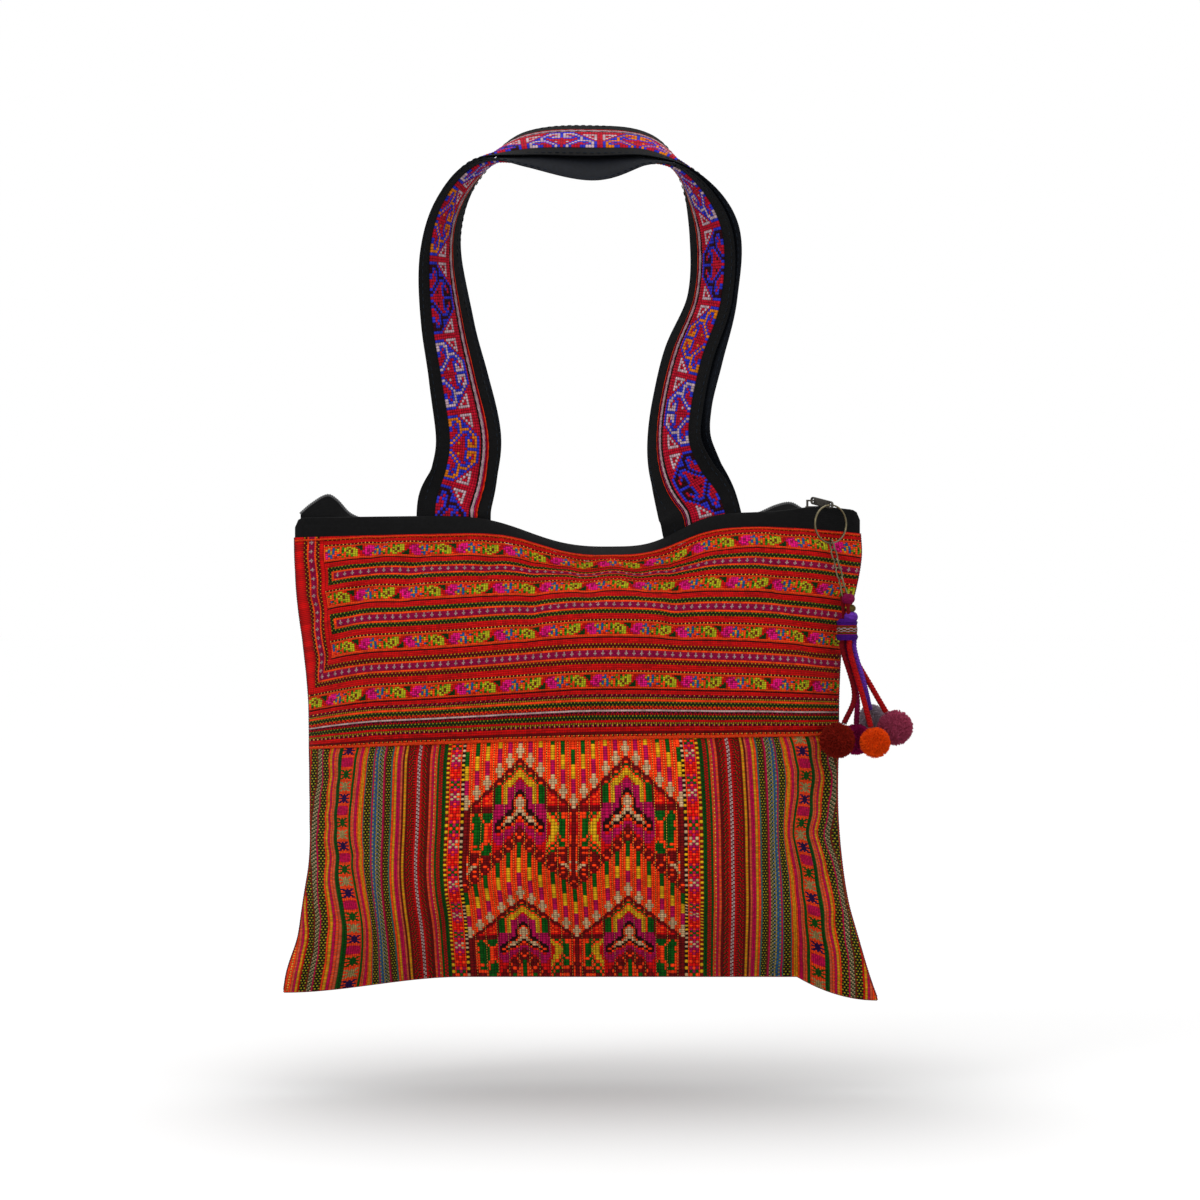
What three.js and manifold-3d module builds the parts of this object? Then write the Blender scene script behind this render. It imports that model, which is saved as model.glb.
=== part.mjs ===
// Embroidered shoulder bag with two handles, a zip and a pompom charm.
// Millimetres, +Z up, front towards -Y. The origin is the place on the crown of
// the doubled handles where a shoulder carries the bag.
import * as THREE from 'three';
import { mergeVertices } from 'three/addons/utils/BufferGeometryUtils.js';
import Module from 'manifold-3d';

const wasm = await Module();
wasm.setup();

// Cloth walls
const CLOTH = 2.0;          // wall of the embroidered panels and the black band
const SEAM_GAP = 0.4;       // room between two pieces that are sewn together
const HALF_GAP = SEAM_GAP / 2;
const MERGE_WITHIN = 1e-4;  // points closer than this are one point
const COLUMNS = 24;         // facets across the bag, closer together towards the side seams
const EDGE_CROWDING = 0.6;
const UPPER_ROWS = 7;
const LOWER_ROWS = 9;
const BAND_ROWS = 2;
const SIDE_POWER = 2.4;     // how flat the belly stays before it turns to the side seam
const SIDE_ROUND = 0.75;

// Bag outline: one row for each level from the band seam (0) to the bottom seam (1).
const MID_SEAM = 0.452;     // level of the seam between the upper and the lower panel
const LEVELS = [
  { level: 0.00, left: -181.5, right: 177.0, belly: 16.0 },
  { level: 0.05, left: -181.0, right: 177.5, belly: 24.0 },
  { level: 0.12, left: -179.5, right: 174.0, belly: 33.0 },
  { level: 0.22, left: -175.5, right: 166.0, belly: 41.0 },
  { level: 0.33, left: -172.5, right: 163.5, belly: 46.0 },
  { level: 0.45, left: -172.0, right: 163.0, belly: 49.0 },
  { level: 0.60, left: -171.5, right: 162.5, belly: 50.0 },
  { level: 0.70, left: -171.8, right: 164.5, belly: 47.5 },
  { level: 0.80, left: -176.0, right: 169.0, belly: 41.0 },
  { level: 0.88, left: -179.5, right: 176.0, belly: 32.0 },
  { level: 0.95, left: -186.0, right: 182.5, belly: 18.0 },
  { level: 1.00, left: -188.5, right: 188.0, belly: 0.0 },
];

// Soft dents pressed into the cloth: centre, direction of the crease, length, width, depth.
const DENTS = [
  { x: 138, z: -500, lean: 10, long: 36, wide: 9, deep: 6.0 },
  { x: 152, z: -452, lean: -14, long: 40, wide: 7, deep: 3.0 },
  { x: -146, z: -492, lean: -20, long: 34, wide: 10, deep: 4.0 },
  { x: -156, z: -455, lean: 12, long: 38, wide: 7, deep: 2.5 },
  { x: 22, z: -262, lean: 90, long: 62, wide: 13, deep: 4.0 },
  { x: -118, z: -262, lean: 64, long: 40, wide: 11, deep: 2.5 },
];

// Seam lines across the bag
const BAND_TOP_LEFT = -223.0;
const BAND_TOP_RIGHT = -220.5;
const BAND_SEAM_LEFT = -236.5;
const BAND_SEAM_RIGHT = -230.5;
const DIP_X = 20;           // the mouth sags between the handles
const DIP_LEFT_REACH = 58;
const DIP_RIGHT_REACH = 43;
const DIP_TOP = 20.5;
const DIP_SEAM = 16.0;
const DIP_ROLL = 7.5;       // the band rolls inwards where the mouth sags
const DIP_ROLL_REACH = 27;
const MOUTH_HALF = 11;      // half the width of the mouth at the zip
const MOUTH_POWER = 4;      // how long it keeps that width before it closes at the side seams
const MOUTH_ROUND = 0.6;
const MID_SEAM_Z = -362;
const MID_SEAM_DROOP = 8;   // by which the left end of the seam hangs lower
const MID_SEAM_POWER = 2.5;
const BOTTOM_Z = -515;
const LEFT_EAR = { from: -75, reach: 113, drop: 10 };
const RIGHT_EAR = { from: 137, reach: 51, drop: 15 };

// Zip
const ZIP_LEFT = -0.958;    // ends of the tape, as a share of the half width
const ZIP_RIGHT = 0.935;
const TAPE = 1.2;
const TAPE_COLUMNS = 30;
const TAPE_ROWS = 2;
const TAPE_LEAST_REACH = 0.4;  // the tape always leaves the coil sideways by this much
const COIL_RADIUS = 1.7;
const COIL_SIDES = 6;
const COIL_STEPS = 48;
const COIL_CLEAR = 0.4;
const SLIDER_CLEAR = 0.7;
const TAPE_BELOW_EDGE = 3.0;
const TAPE_CLEAR = 0.7;     // room between the tape's edge and the band
const STRAP_POCKET = { inner: 112, outer: 134, room: 4.4 };
const ZIP_RIDGE = [
  { x: -177, z: -223.0 },
  { x: -170, z: -216.5 },
  { x: -160, z: -211.0 },
  { x: -149, z: -219.5 },
  { x: -135, z: -226.0 },
  { x: -62, z: -228.0 },
  { x: 20, z: -247.0 },
  { x: 84, z: -228.0 },
  { x: 112, z: -222.0 },
  { x: 124, z: -217.0 },
  { x: 133, z: -215.4 },
  { x: 141, z: -219.6 },
  { x: 148, z: -222.2 },
  { x: 170, z: -223.0 },
];

// Zip slider and its pull, which lies forward over the band
const SLIDER_X = 147.5;
const SLIDER = { length: 10, width: 9, plate: 1.2, bar: 1.1, barLength: 9, barRise: 3.6, post: 1.4 };
const PULL = { length: 19, halfWidth: 2.4, thick: 1.4, eye: 1.6, arcSteps: 6 };
const PULL_DIRECTION = new THREE.Vector3(0.53, -0.83, -0.17).normalize();

// Charm: split ring, chain and a tassel of five cords with pompoms
const RING = { radius: 12, wire: 0.75, coilPitch: 0.6, sides: 6, steps: 24 };
const LINK = { count: 6, outerLength: 8.0, outerWidth: 5.0, wire: 0.55, sides: 5, steps: 12 };
const LINK_CLEAR = 0.6;     // play of the first link on the ring
const LINK_FUSE = 0.25;     // depth to which one link sinks into the next, so the chain is one body
const CHAIN_DIRECTION = new THREE.Vector3(0.245, -0.04, -0.968).normalize();
const HEAD = { x: 168, y: -16.2, top: -288, bottom: -301.5, waist: 6.2, sides: 14 };
const HEAD_LOOP = { radius: 1.0, halfWidth: 2.6, sides: 6, steps: 12, clear: 0.3, sink: 2 };

// Barrel of the tassel head: swell above the waist at a share of its height.
const HEAD_PROFILE = [
  { height: 0.00, swell: 0.0 },
  { height: 0.15, swell: 0.8 },
  { height: 0.30, swell: 0.0 },
  { height: 0.50, swell: 0.4 },
  { height: 0.70, swell: 0.0 },
  { height: 0.85, swell: 0.5 },
  { height: 1.00, swell: -1.5 },
];

const CORD_RADIUS = 1.9;
const CORD_STEPS = 9;
const CORD_SIDES = 8;
const CORD_CLEAR = 0.3;
const CORD_STRAIGHT = 5.7;  // length that leaves the head straight down
const POMPOM_ROUND = 14;
const POMPOM_RINGS = 9;
const POMPOM_TUFTS = 7;     // tufts round a pompom, and belts of them from pole to pole
const POMPOM_BELTS = 3;
const POMPOM_TUFT_HEIGHT = 0.05;

// Each cord leaves the head, passes a bend and ends in the top of its pompom.
const TASSEL = [
  { name: 'dark_red', head: [-3.1, -1.6], bend: [172.4, -19.6, -337], ball: [161.3, -25.0, -364.5],
    radius: 11.4, cord: '#5e1626', colour: '#5b1418' },
  { name: 'magenta', head: [-1.6, 3.6], bend: [174.4, -11.5, -337], ball: [174.5, -4.6, -364.5],
    radius: 10.0, cord: '#a31663', colour: '#a5145f' },
  { name: 'orange', head: [1.2, -4.0], bend: [177.4, -23.2, -337], ball: [185.0, -24.5, -365.8],
    radius: 9.8, cord: '#a01c1c', colour: '#e2490f' },
  { name: 'mauve', head: [4.3, 0.9], bend: [184.0, -13.4, -332], ball: [198.8, -9.6, -357.0],
    radius: 11.4, cord: '#8c1f2a', colour: '#7c2f55' },
  { name: 'violet', head: [2.2, 4.6], bend: [180.6, -5.6, -330], ball: [185.2, 7.2, -351.5],
    radius: 9.0, cord: '#6a2a8c', colour: '#6b5a78' },
];

// Handles: two straps laid lining to lining, from the left leg over the crown to the right.
// turn is the angle by which the face has rolled from the front towards the inside of the
// loop, apart the room between the middles of the two straps, and slip how far each strap
// is pushed sideways towards the inside of the loop.
const STRAP_WIDTH = 44;
const STRAP_THICK = 2.0;
const STRAP_STEPS = 50;
const RIBBON_FROM = -12;
const RIBBON_TO = 13.5;
const RIBBON_THICK = 1.0;
const RIBBON_LIFT = 0.25;
const LOOK_AHEAD = 0.05;    // step along the table over which its direction is measured
const STRAP = [
  { x: -79.5, z: -231.0, turn: 0, apart: 15.8, slipFront: 0, slipBack: 0 },
  { x: -79.0, z: -216.0, turn: 0, apart: 15.8, slipFront: 0, slipBack: 0 },
  { x: -74.0, z: -196.0, turn: 20, apart: 12.0, slipFront: -2, slipBack: 2 },
  { x: -71.8, z: -172.0, turn: 27, apart: 7.0, slipFront: -2, slipBack: 3 },
  { x: -77.5, z: -136.0, turn: 39, apart: 5.0, slipFront: -3, slipBack: 3 },
  { x: -84.5, z: -101.0, turn: 46, apart: 5.0, slipFront: -3, slipBack: 3 },
  { x: -88.8, z: -58.0, turn: 57, apart: 5.0, slipFront: -4, slipBack: 4 },
  { x: -83.0, z: -27.0, turn: 67, apart: 5.0, slipFront: -5, slipBack: 5 },
  { x: -66.0, z: -2.0, turn: 82, apart: 5.0, slipFront: -3, slipBack: 3 },
  { x: -35.6, z: 10.0, turn: 107, apart: 6.0, slipFront: -7, slipBack: 5 },
  { x: 8.0, z: 10.8, turn: 120, apart: 7.5, slipFront: -14, slipBack: 6 },
  { x: 44.0, z: 9.0, turn: 107, apart: 6.0, slipFront: -5, slipBack: 5 },
  { x: 68.0, z: -8.0, turn: 82, apart: 5.0, slipFront: -1, slipBack: 0 },
  { x: 82.0, z: -42.0, turn: 63, apart: 5.0, slipFront: -1, slipBack: -3 },
  { x: 82.0, z: -84.0, turn: 55, apart: 5.0, slipFront: -1, slipBack: -3 },
  { x: 71.0, z: -121.0, turn: 48, apart: 5.0, slipFront: 0, slipBack: -3 },
  { x: 62.5, z: -152.0, turn: 44, apart: 5.5, slipFront: 0, slipBack: -2 },
  { x: 61.5, z: -176.0, turn: 40, apart: 7.0, slipFront: 0, slipBack: -2 },
  { x: 67.0, z: -198.0, turn: 20, apart: 12.0, slipFront: 0, slipBack: -1 },
  { x: 76.0, z: -216.0, turn: 0, apart: 15.8, slipFront: 0, slipBack: 0 },
  { x: 80.0, z: -231.0, turn: 0, apart: 15.8, slipFront: 0, slipBack: 0 },
];

// Finish of each material
const CLOTH_ROUGHNESS = 0.9;
const WOOL_ROUGHNESS = 1;
const FINISH = {
  embroidery: { color: '#b3261e', roughness: CLOTH_ROUGHNESS },
  stripes: { color: '#a8331f', roughness: CLOTH_ROUGHNESS },
  black: { color: '#16161a', roughness: CLOTH_ROUGHNESS },
  navy: { color: '#181d27', roughness: CLOTH_ROUGHNESS },
  tape: { color: '#101012', roughness: CLOTH_ROUGHNESS },
  ribbon: { color: '#8a2046', roughness: CLOTH_ROUGHNESS },
  binding: { color: '#6b2a72', roughness: CLOTH_ROUGHNESS },
  nylon: { color: '#1c1c1e', roughness: 0.5 },
  zipMetal: { color: '#2b2927', roughness: 0.45, metalness: 0.9 },
  agedBrass: { color: '#6d6453', roughness: 0.42, metalness: 1 },
};

// Smooth curve through the rows of a table: column value at a key value.
function along(table, key, column, at) {
  const last = table.length - 1;
  const low = table[0][key];
  const high = table[last][key];
  const place = Math.min(Math.max(at, low), high);
  let row = 0;
  while (row < last - 1 && place > table[row + 1][key]) row += 1;
  const slope = (a, b) => (table[b][column] - table[a][column]) / (table[b][key] - table[a][key]);
  const tangent = (i) => {
    if (i === 0) return slope(0, 1);
    if (i === last) return slope(last - 1, last);
    return slope(i - 1, i + 1);
  };
  const span = table[row + 1][key] - table[row][key];
  const t = (place - table[row][key]) / span;
  const rise = t * t * (3 - 2 * t);
  const leave = t * (1 - t) * (1 - t) * span * tangent(row);
  const arrive = t * t * (1 - t) * span * tangent(row + 1);
  return table[row][column] * (1 - rise) + table[row + 1][column] * rise + leave - arrive;
}

const mix = (a, b, t) => a + (b - a) * t;
const clamp01 = (t) => Math.min(Math.max(t, 0), 1);
const smooth = (t) => clamp01(t) ** 2 * (3 - 2 * clamp01(t));

// Closed solid between an outer and an inner grid of points.
function wall(outer, inner, columns, rows) {
  const points = [];
  const faces = [];
  const stride = columns + 1;
  const layer = stride * (rows + 1);
  for (const side of [outer, inner]) {
    for (let r = 0; r <= rows; r += 1) {
      for (let c = 0; c <= columns; c += 1) points.push(...side(c / columns, r / rows).toArray());
    }
  }
  const quad = (a, b, c, d) => faces.push(a, b, c, a, c, d);
  for (let r = 0; r < rows; r += 1) {
    for (let c = 0; c < columns; c += 1) {
      const at = r * stride + c;
      quad(at, at + stride, at + stride + 1, at + 1);
      quad(layer + at, layer + at + 1, layer + at + stride + 1, layer + at + stride);
    }
  }
  for (let c = 0; c < columns; c += 1) {
    const low = rows * stride + c;
    quad(c, c + 1, layer + c + 1, layer + c);
    quad(low, layer + low, layer + low + 1, low + 1);
  }
  for (let r = 0; r < rows; r += 1) {
    const left = r * stride;
    const right = left + columns;
    quad(left, layer + left, layer + left + stride, left + stride);
    quad(right, right + stride, layer + right + stride, layer + right);
  }
  const geometry = new THREE.BufferGeometry();
  geometry.setAttribute('position', new THREE.Float32BufferAttribute(points, 3));
  geometry.setIndex(faces);
  return geometry;
}

// Turn a solid inside out, for the back of the bag, which is built as a mirror of the front.
function flipped(geometry) {
  const index = geometry.getIndex();
  for (let i = 0; i < index.count; i += 3) {
    const second = index.getX(i + 1);
    index.setX(i + 1, index.getX(i + 2));
    index.setX(i + 2, second);
  }
  return geometry;
}

// Bare, merged copy of a geometry, as the joining of solids needs it.
function bare(geometry) {
  const copy = geometry.clone();
  copy.deleteAttribute('normal');
  copy.deleteAttribute('uv');
  return mergeVertices(copy, MERGE_WITHIN);
}

function toSolid(geometry) {
  const merged = bare(geometry);
  return new wasm.Manifold(new wasm.Mesh({
    numProp: 3,
    vertProperties: new Float32Array(merged.getAttribute('position').array),
    triVerts: new Uint32Array(merged.getIndex().array),
  }));
}

function toGeometry(solid) {
  const mesh = solid.getMesh();
  const geometry = new THREE.BufferGeometry();
  geometry.setAttribute('position', new THREE.Float32BufferAttribute(mesh.vertProperties, 3));
  geometry.setIndex(Array.from(mesh.triVerts));
  return geometry;
}

const fuse = (pieces) => toGeometry(pieces.map(toSolid).reduce((whole, piece) => whole.add(piece)));

const bag = new THREE.Group();

function add(name, geometry, finish) {
  const mesh = new THREE.Mesh(geometry, new THREE.MeshStandardMaterial(finish));
  mesh.name = name;
  bag.add(mesh);
}

// Shape of the bag. u runs from -1 at the left side seam to 1 at the right one.
const hollow = (away, reach) => Math.exp(-((Math.abs(away) / reach) ** 3));
const dip = (x) => hollow(x - DIP_X, x < DIP_X ? DIP_LEFT_REACH : DIP_RIGHT_REACH);

const acrossAt = (level, u) => mix(
  along(LEVELS, 'level', 'left', level),
  along(LEVELS, 'level', 'right', level),
  (u + 1) / 2,
);

const sideTurn = (u) => (1 - Math.abs(u) ** SIDE_POWER) ** SIDE_ROUND;
const bandTopZ = (x, u) => mix(BAND_TOP_LEFT, BAND_TOP_RIGHT, (u + 1) / 2) - DIP_TOP * dip(x);
const bandSeamZ = (x, u) => mix(BAND_SEAM_LEFT, BAND_SEAM_RIGHT, (u + 1) / 2) - DIP_SEAM * dip(x);
const midSeamZ = (u) => MID_SEAM_Z - MID_SEAM_DROOP * ((1 - u) / 2) ** MID_SEAM_POWER;

function bottomZ(x) {
  const leftEar = smooth((LEFT_EAR.from - x) / LEFT_EAR.reach);
  const rightEar = 1 - (1 - clamp01((x - RIGHT_EAR.from) / RIGHT_EAR.reach)) ** 2;
  return BOTTOM_Z - LEFT_EAR.drop * leftEar - RIGHT_EAR.drop * rightEar;
}

function dentAt(x, z) {
  let depth = 0;
  for (const dent of DENTS) {
    const lean = THREE.MathUtils.degToRad(dent.lean);
    const dx = x - dent.x;
    const dz = z - dent.z;
    const lengthwise = dx * Math.sin(lean) + dz * Math.cos(lean);
    const crosswise = dx * Math.cos(lean) - dz * Math.sin(lean);
    const away = (lengthwise / dent.long) ** 2 + (crosswise / dent.wide) ** 2;
    depth += dent.deep * Math.exp(-away);
  }
  return depth;
}

// Depth of the outer cloth in front of the seam plane.
function mouthDepth(x, u) {
  const rolled = DIP_ROLL * hollow(x - DIP_X, DIP_ROLL_REACH);
  return MOUTH_HALF * (1 - Math.abs(u) ** MOUTH_POWER) ** MOUTH_ROUND - rolled;
}

function panelPoint(u, level) {
  const x = acrossAt(level, u);
  const upper = level <= MID_SEAM;
  const z = upper
    ? mix(bandSeamZ(x, u), midSeamZ(u), level / MID_SEAM)
    : mix(midSeamZ(u), bottomZ(x), (level - MID_SEAM) / (1 - MID_SEAM));
  const swell = along(LEVELS, 'level', 'belly', level) * sideTurn(u);
  const depth = Math.max(swell - dentAt(x, z) * sideTurn(u), 0);
  return new THREE.Vector3(x, -(HALF_GAP + CLOTH + depth), z);
}

function bandPoint(u, down) {
  const x = acrossAt(0, u);
  const seam = panelPoint(u, 0);
  const top = bandTopZ(x, u);
  const depth = HALF_GAP + CLOTH + mouthDepth(x, u);
  return new THREE.Vector3(x, mix(-depth, seam.y, down), mix(top, seam.z + SEAM_GAP, down));
}

// One side of the bag. The back is the mirror of the front in the seam plane.
function clothWall(pointAt, rows, side) {
  const outer = (c, r) => {
    const even = c * 2 - 1;
    const u = mix(even, Math.sin(even * Math.PI / 2), EDGE_CROWDING);
    const point = pointAt(u, r);
    point.y *= side;
    return point;
  };
  const inner = (c, r) => {
    const point = outer(c, r);
    point.y += CLOTH * side;
    return point;
  };
  const geometry = wall(outer, inner, COLUMNS, rows);
  return side > 0 ? geometry : flipped(geometry);
}

const seamLevel = SEAM_GAP / 2 / (BAND_SEAM_LEFT - BOTTOM_Z);
const upperPoint = (u, r) => panelPoint(u, mix(0, MID_SEAM - seamLevel, r));
const lowerPoint = (u, r) => panelPoint(u, mix(MID_SEAM + seamLevel, 1, r));

for (const [word, side] of [['front', 1], ['back', -1]]) {
  add(`${word}_lower_panel`, clothWall(lowerPoint, LOWER_ROWS, side), FINISH.stripes);
  add(`${word}_upper_panel`, clothWall(upperPoint, UPPER_ROWS, side), FINISH.embroidery);
  add(`${word}_top_band`, clothWall(bandPoint, BAND_ROWS, side), FINISH.black);
}

// Zip: a tape on each side of the coil, tented up at both ends of the mouth.
const ridgeAt = (x) => along(ZIP_RIDGE, 'x', 'z', x);

function pocketRoom(x) {
  const into = (STRAP_POCKET.outer - Math.abs(x)) / (STRAP_POCKET.outer - STRAP_POCKET.inner);
  return TAPE_CLEAR + STRAP_POCKET.room * smooth(into);
}

function tapePoint(c, r, side) {
  const u = mix(ZIP_LEFT, ZIP_RIGHT, c);
  const x = acrossAt(0, u);
  const edgeY = -(HALF_GAP + mouthDepth(x, u) - pocketRoom(x));
  const ridgeY = -(COIL_RADIUS + COIL_CLEAR);
  const y = Math.min(mix(edgeY, ridgeY, r), ridgeY - TAPE_LEAST_REACH * (1 - r));
  return new THREE.Vector3(x, y * side, mix(bandTopZ(x, u) - TAPE_BELOW_EDGE, ridgeAt(x), r));
}

function tapeWall(side) {
  const outer = (c, r) => tapePoint(c, 1 - r, side);
  const inner = (c, r) => outer(c, r).add(new THREE.Vector3(0, 0, -TAPE));
  const geometry = wall(outer, inner, TAPE_COLUMNS, TAPE_ROWS);
  return side > 0 ? geometry : flipped(geometry);
}

add('zip_tape_front', tapeWall(1), FINISH.tape);
add('zip_tape_back', tapeWall(-1), FINISH.tape);

// Solid tube with a round section along a curve.
function tube(curve, radius, sides, steps) {
  const section = new THREE.Shape();
  for (let i = 0; i < sides; i += 1) {
    const angle = (i / sides) * 2 * Math.PI;
    const point = [radius * Math.cos(angle), radius * Math.sin(angle)];
    if (i === 0) section.moveTo(...point);
    else section.lineTo(...point);
  }
  return bare(new THREE.ExtrudeGeometry(section, { extrudePath: curve, steps, bevelEnabled: false }));
}

const coilEnds = [acrossAt(0, ZIP_LEFT), acrossAt(0, ZIP_RIGHT)];
const coilPath = new THREE.CatmullRomCurve3(
  Array.from({ length: TAPE_COLUMNS + 1 }, (_, i) => {
    const x = mix(coilEnds[0], coilEnds[1], i / TAPE_COLUMNS);
    return new THREE.Vector3(x, 0, ridgeAt(x));
  }),
);
add('zip_coil', tube(coilPath, COIL_RADIUS, COIL_SIDES, COIL_STEPS), FINISH.nylon);

// Slider: a plate over the coil with a bar on two posts for the pull.
const plateZ = ridgeAt(SLIDER_X - SLIDER.length / 2) + COIL_RADIUS + SLIDER_CLEAR;
const barZ = plateZ + SLIDER.plate + SLIDER.barRise;
const box = (x, y, z, at) => new THREE.BoxGeometry(x, y, z).translate(at.x, at.y, at.z);

function slider() {
  const plate = box(SLIDER.length, SLIDER.width, SLIDER.plate,
    { x: SLIDER_X, y: 0, z: plateZ + SLIDER.plate / 2 });
  const bar = box(SLIDER.barLength, SLIDER.bar, SLIDER.bar, { x: SLIDER_X, y: 0, z: barZ });
  const postHeight = SLIDER.barRise + SLIDER.plate;
  const posts = [-1, 1].map((end) => box(SLIDER.post, SLIDER.bar, postHeight, {
    x: SLIDER_X + end * (SLIDER.barLength - SLIDER.post) / 2,
    y: 0,
    z: barZ - postHeight / 2,
  }));
  return fuse([plate, bar, ...posts]);
}

add('zip_slider', slider(), FINISH.zipMetal);

// The pull stands on edge: its two eyes turn about the same level line.
const pullStart = new THREE.Vector3(SLIDER_X, 0, barZ);
const pullEnd = pullStart.clone().addScaledVector(PULL_DIRECTION, PULL.length);
const level = new THREE.Vector3(PULL_DIRECTION.x, PULL_DIRECTION.y, 0).normalize();
const swingAxis = new THREE.Vector3().crossVectors(level, new THREE.Vector3(0, 0, 1)).negate();

function pull() {
  const outline = new THREE.Shape();
  outline.absarc(0, 0, PULL.halfWidth, Math.PI / 2, -Math.PI / 2, false);
  outline.absarc(PULL.length, 0, PULL.halfWidth, -Math.PI / 2, Math.PI / 2, false);
  const near = new THREE.Path().absarc(0, 0, PULL.eye, 0, 2 * Math.PI, true);
  const far = new THREE.Path().absarc(PULL.length, 0, PULL.eye, 0, 2 * Math.PI, true);
  outline.holes.push(near, far);
  const plate = new THREE.ExtrudeGeometry(outline,
    { depth: PULL.thick, bevelEnabled: false, curveSegments: PULL.arcSteps });
  plate.translate(0, 0, -PULL.thick / 2);
  const up = new THREE.Vector3().crossVectors(swingAxis, PULL_DIRECTION);
  const turn = new THREE.Matrix4().makeBasis(PULL_DIRECTION, up, swingAxis);
  plate.applyMatrix4(turn).translate(...pullStart.toArray());
  return bare(plate);
}

add('zip_pull', pull(), FINISH.zipMetal);

// Split ring of two turns of wire, fused side by side, hanging in the far eye.
const ringCentre = pullEnd.clone().add(new THREE.Vector3(0, 0, -RING.radius));
const ringTurn = new THREE.Matrix4().makeBasis(swingAxis, new THREE.Vector3(0, 0, 1), level);

function keyRing() {
  const turns = [-1, 1].map((side) => bare(
    new THREE.TorusGeometry(RING.radius, RING.wire, RING.sides, RING.steps)
      .translate(0, 0, side * RING.coilPitch / 2),
  ));
  return fuse(turns).applyMatrix4(ringTurn).translate(...ringCentre.toArray());
}

add('key_ring', keyRing(), FINISH.agedBrass);

// Oval loop of wire in the XY plane, stretched along Y.
function ovalLoop(length, width, wire, sides, steps) {
  const bend = (width - 2 * wire) / 2;
  const torus = new THREE.TorusGeometry(bend, wire, sides, steps).rotateZ(Math.PI / steps);
  const stretch = (length - 2 * wire) / 2 - bend;
  const spot = torus.getAttribute('position');
  for (let i = 0; i < spot.count; i += 1) {
    const y = spot.getY(i);
    spot.setY(i, y + Math.sign(y) * stretch);
  }
  return bare(torus);
}

// Chain: oval links, each a quarter turn from the last, held one in the next.
const linkReach = LINK.outerLength / 2 - LINK.wire;
const linkPitch = 2 * linkReach - 2 * LINK.wire + LINK_FUSE;
const ringBottom = ringCentre.clone().add(new THREE.Vector3(0, 0, -RING.radius));
const firstLink = ringBottom.clone()
  .add(new THREE.Vector3(0, 0, RING.wire + LINK.wire + LINK_CLEAR))
  .addScaledVector(CHAIN_DIRECTION, linkReach);

function linkFrame(i) {
  const side = new THREE.Vector3().crossVectors(CHAIN_DIRECTION, swingAxis).normalize();
  const front = new THREE.Vector3().crossVectors(side, CHAIN_DIRECTION);
  const across = i % 2 === 0 ? side : front;
  const out = new THREE.Vector3().crossVectors(across, CHAIN_DIRECTION);
  const place = firstLink.clone().addScaledVector(CHAIN_DIRECTION, i * linkPitch);
  return { across, out, place };
}

function link(i) {
  const { across, out, place } = linkFrame(i);
  const turn = new THREE.Matrix4().makeBasis(across, CHAIN_DIRECTION, out).setPosition(place);
  return ovalLoop(LINK.outerLength, LINK.outerWidth, LINK.wire, LINK.sides, LINK.steps).applyMatrix4(turn);
}

const chain = () => fuse(Array.from({ length: LINK.count }, (_, i) => link(i)));

add('charm_chain', chain(), FINISH.agedBrass);

// Tassel head: a bound barrel with a cord loop that hangs in the last link.
function tasselHead() {
  const height = HEAD.top - HEAD.bottom;
  const outline = HEAD_PROFILE.map((row) => new THREE.Vector2(HEAD.waist + row.swell, height * row.height));
  const profile = [new THREE.Vector2(0, 0), ...outline, new THREE.Vector2(0, height)];
  const barrel = new THREE.LatheGeometry(profile, HEAD.sides)
    .rotateX(Math.PI / 2)
    .translate(HEAD.x, HEAD.y, HEAD.bottom);
  const lastLink = linkFrame(LINK.count - 1);
  const inLink = linkReach - LINK.wire - HEAD_LOOP.radius - HEAD_LOOP.clear;
  const hook = lastLink.place.addScaledVector(CHAIN_DIRECTION, inLink);
  const foot = new THREE.Vector3(HEAD.x, HEAD.y, HEAD.top - HEAD_LOOP.sink);
  const down = foot.clone().sub(hook);
  const length = down.length() + 2 * HEAD_LOOP.radius;
  down.normalize();
  const across = new THREE.Vector3().crossVectors(lastLink.across, down).normalize();
  const out = new THREE.Vector3().crossVectors(across, down);
  const turn = new THREE.Matrix4().makeBasis(across, down, out)
    .setPosition(hook.clone().add(foot).multiplyScalar(0.5));
  const loop = ovalLoop(length, 2 * HEAD_LOOP.halfWidth + 2 * HEAD_LOOP.radius, HEAD_LOOP.radius,
    HEAD_LOOP.sides, HEAD_LOOP.steps).applyMatrix4(turn);
  return fuse([barrel, loop]);
}

add('tassel_head', tasselHead(), FINISH.binding);

function pompom(row) {
  const ball = bare(new THREE.SphereGeometry(row.radius, POMPOM_ROUND, POMPOM_RINGS));
  const spot = ball.getAttribute('position');
  for (let i = 0; i < spot.count; i += 1) {
    const point = new THREE.Vector3().fromBufferAttribute(spot, i);
    const around = Math.atan2(point.z, point.x);
    const tuft = Math.cos(POMPOM_TUFTS * around)
      * Math.sin(POMPOM_BELTS * Math.PI * point.y / row.radius);
    point.multiplyScalar(1 - POMPOM_TUFT_HEIGHT * (1 - tuft) / 2);
    spot.setXYZ(i, ...point.toArray());
  }
  return ball.rotateX(Math.PI / 2).translate(...row.ball);
}

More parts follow.
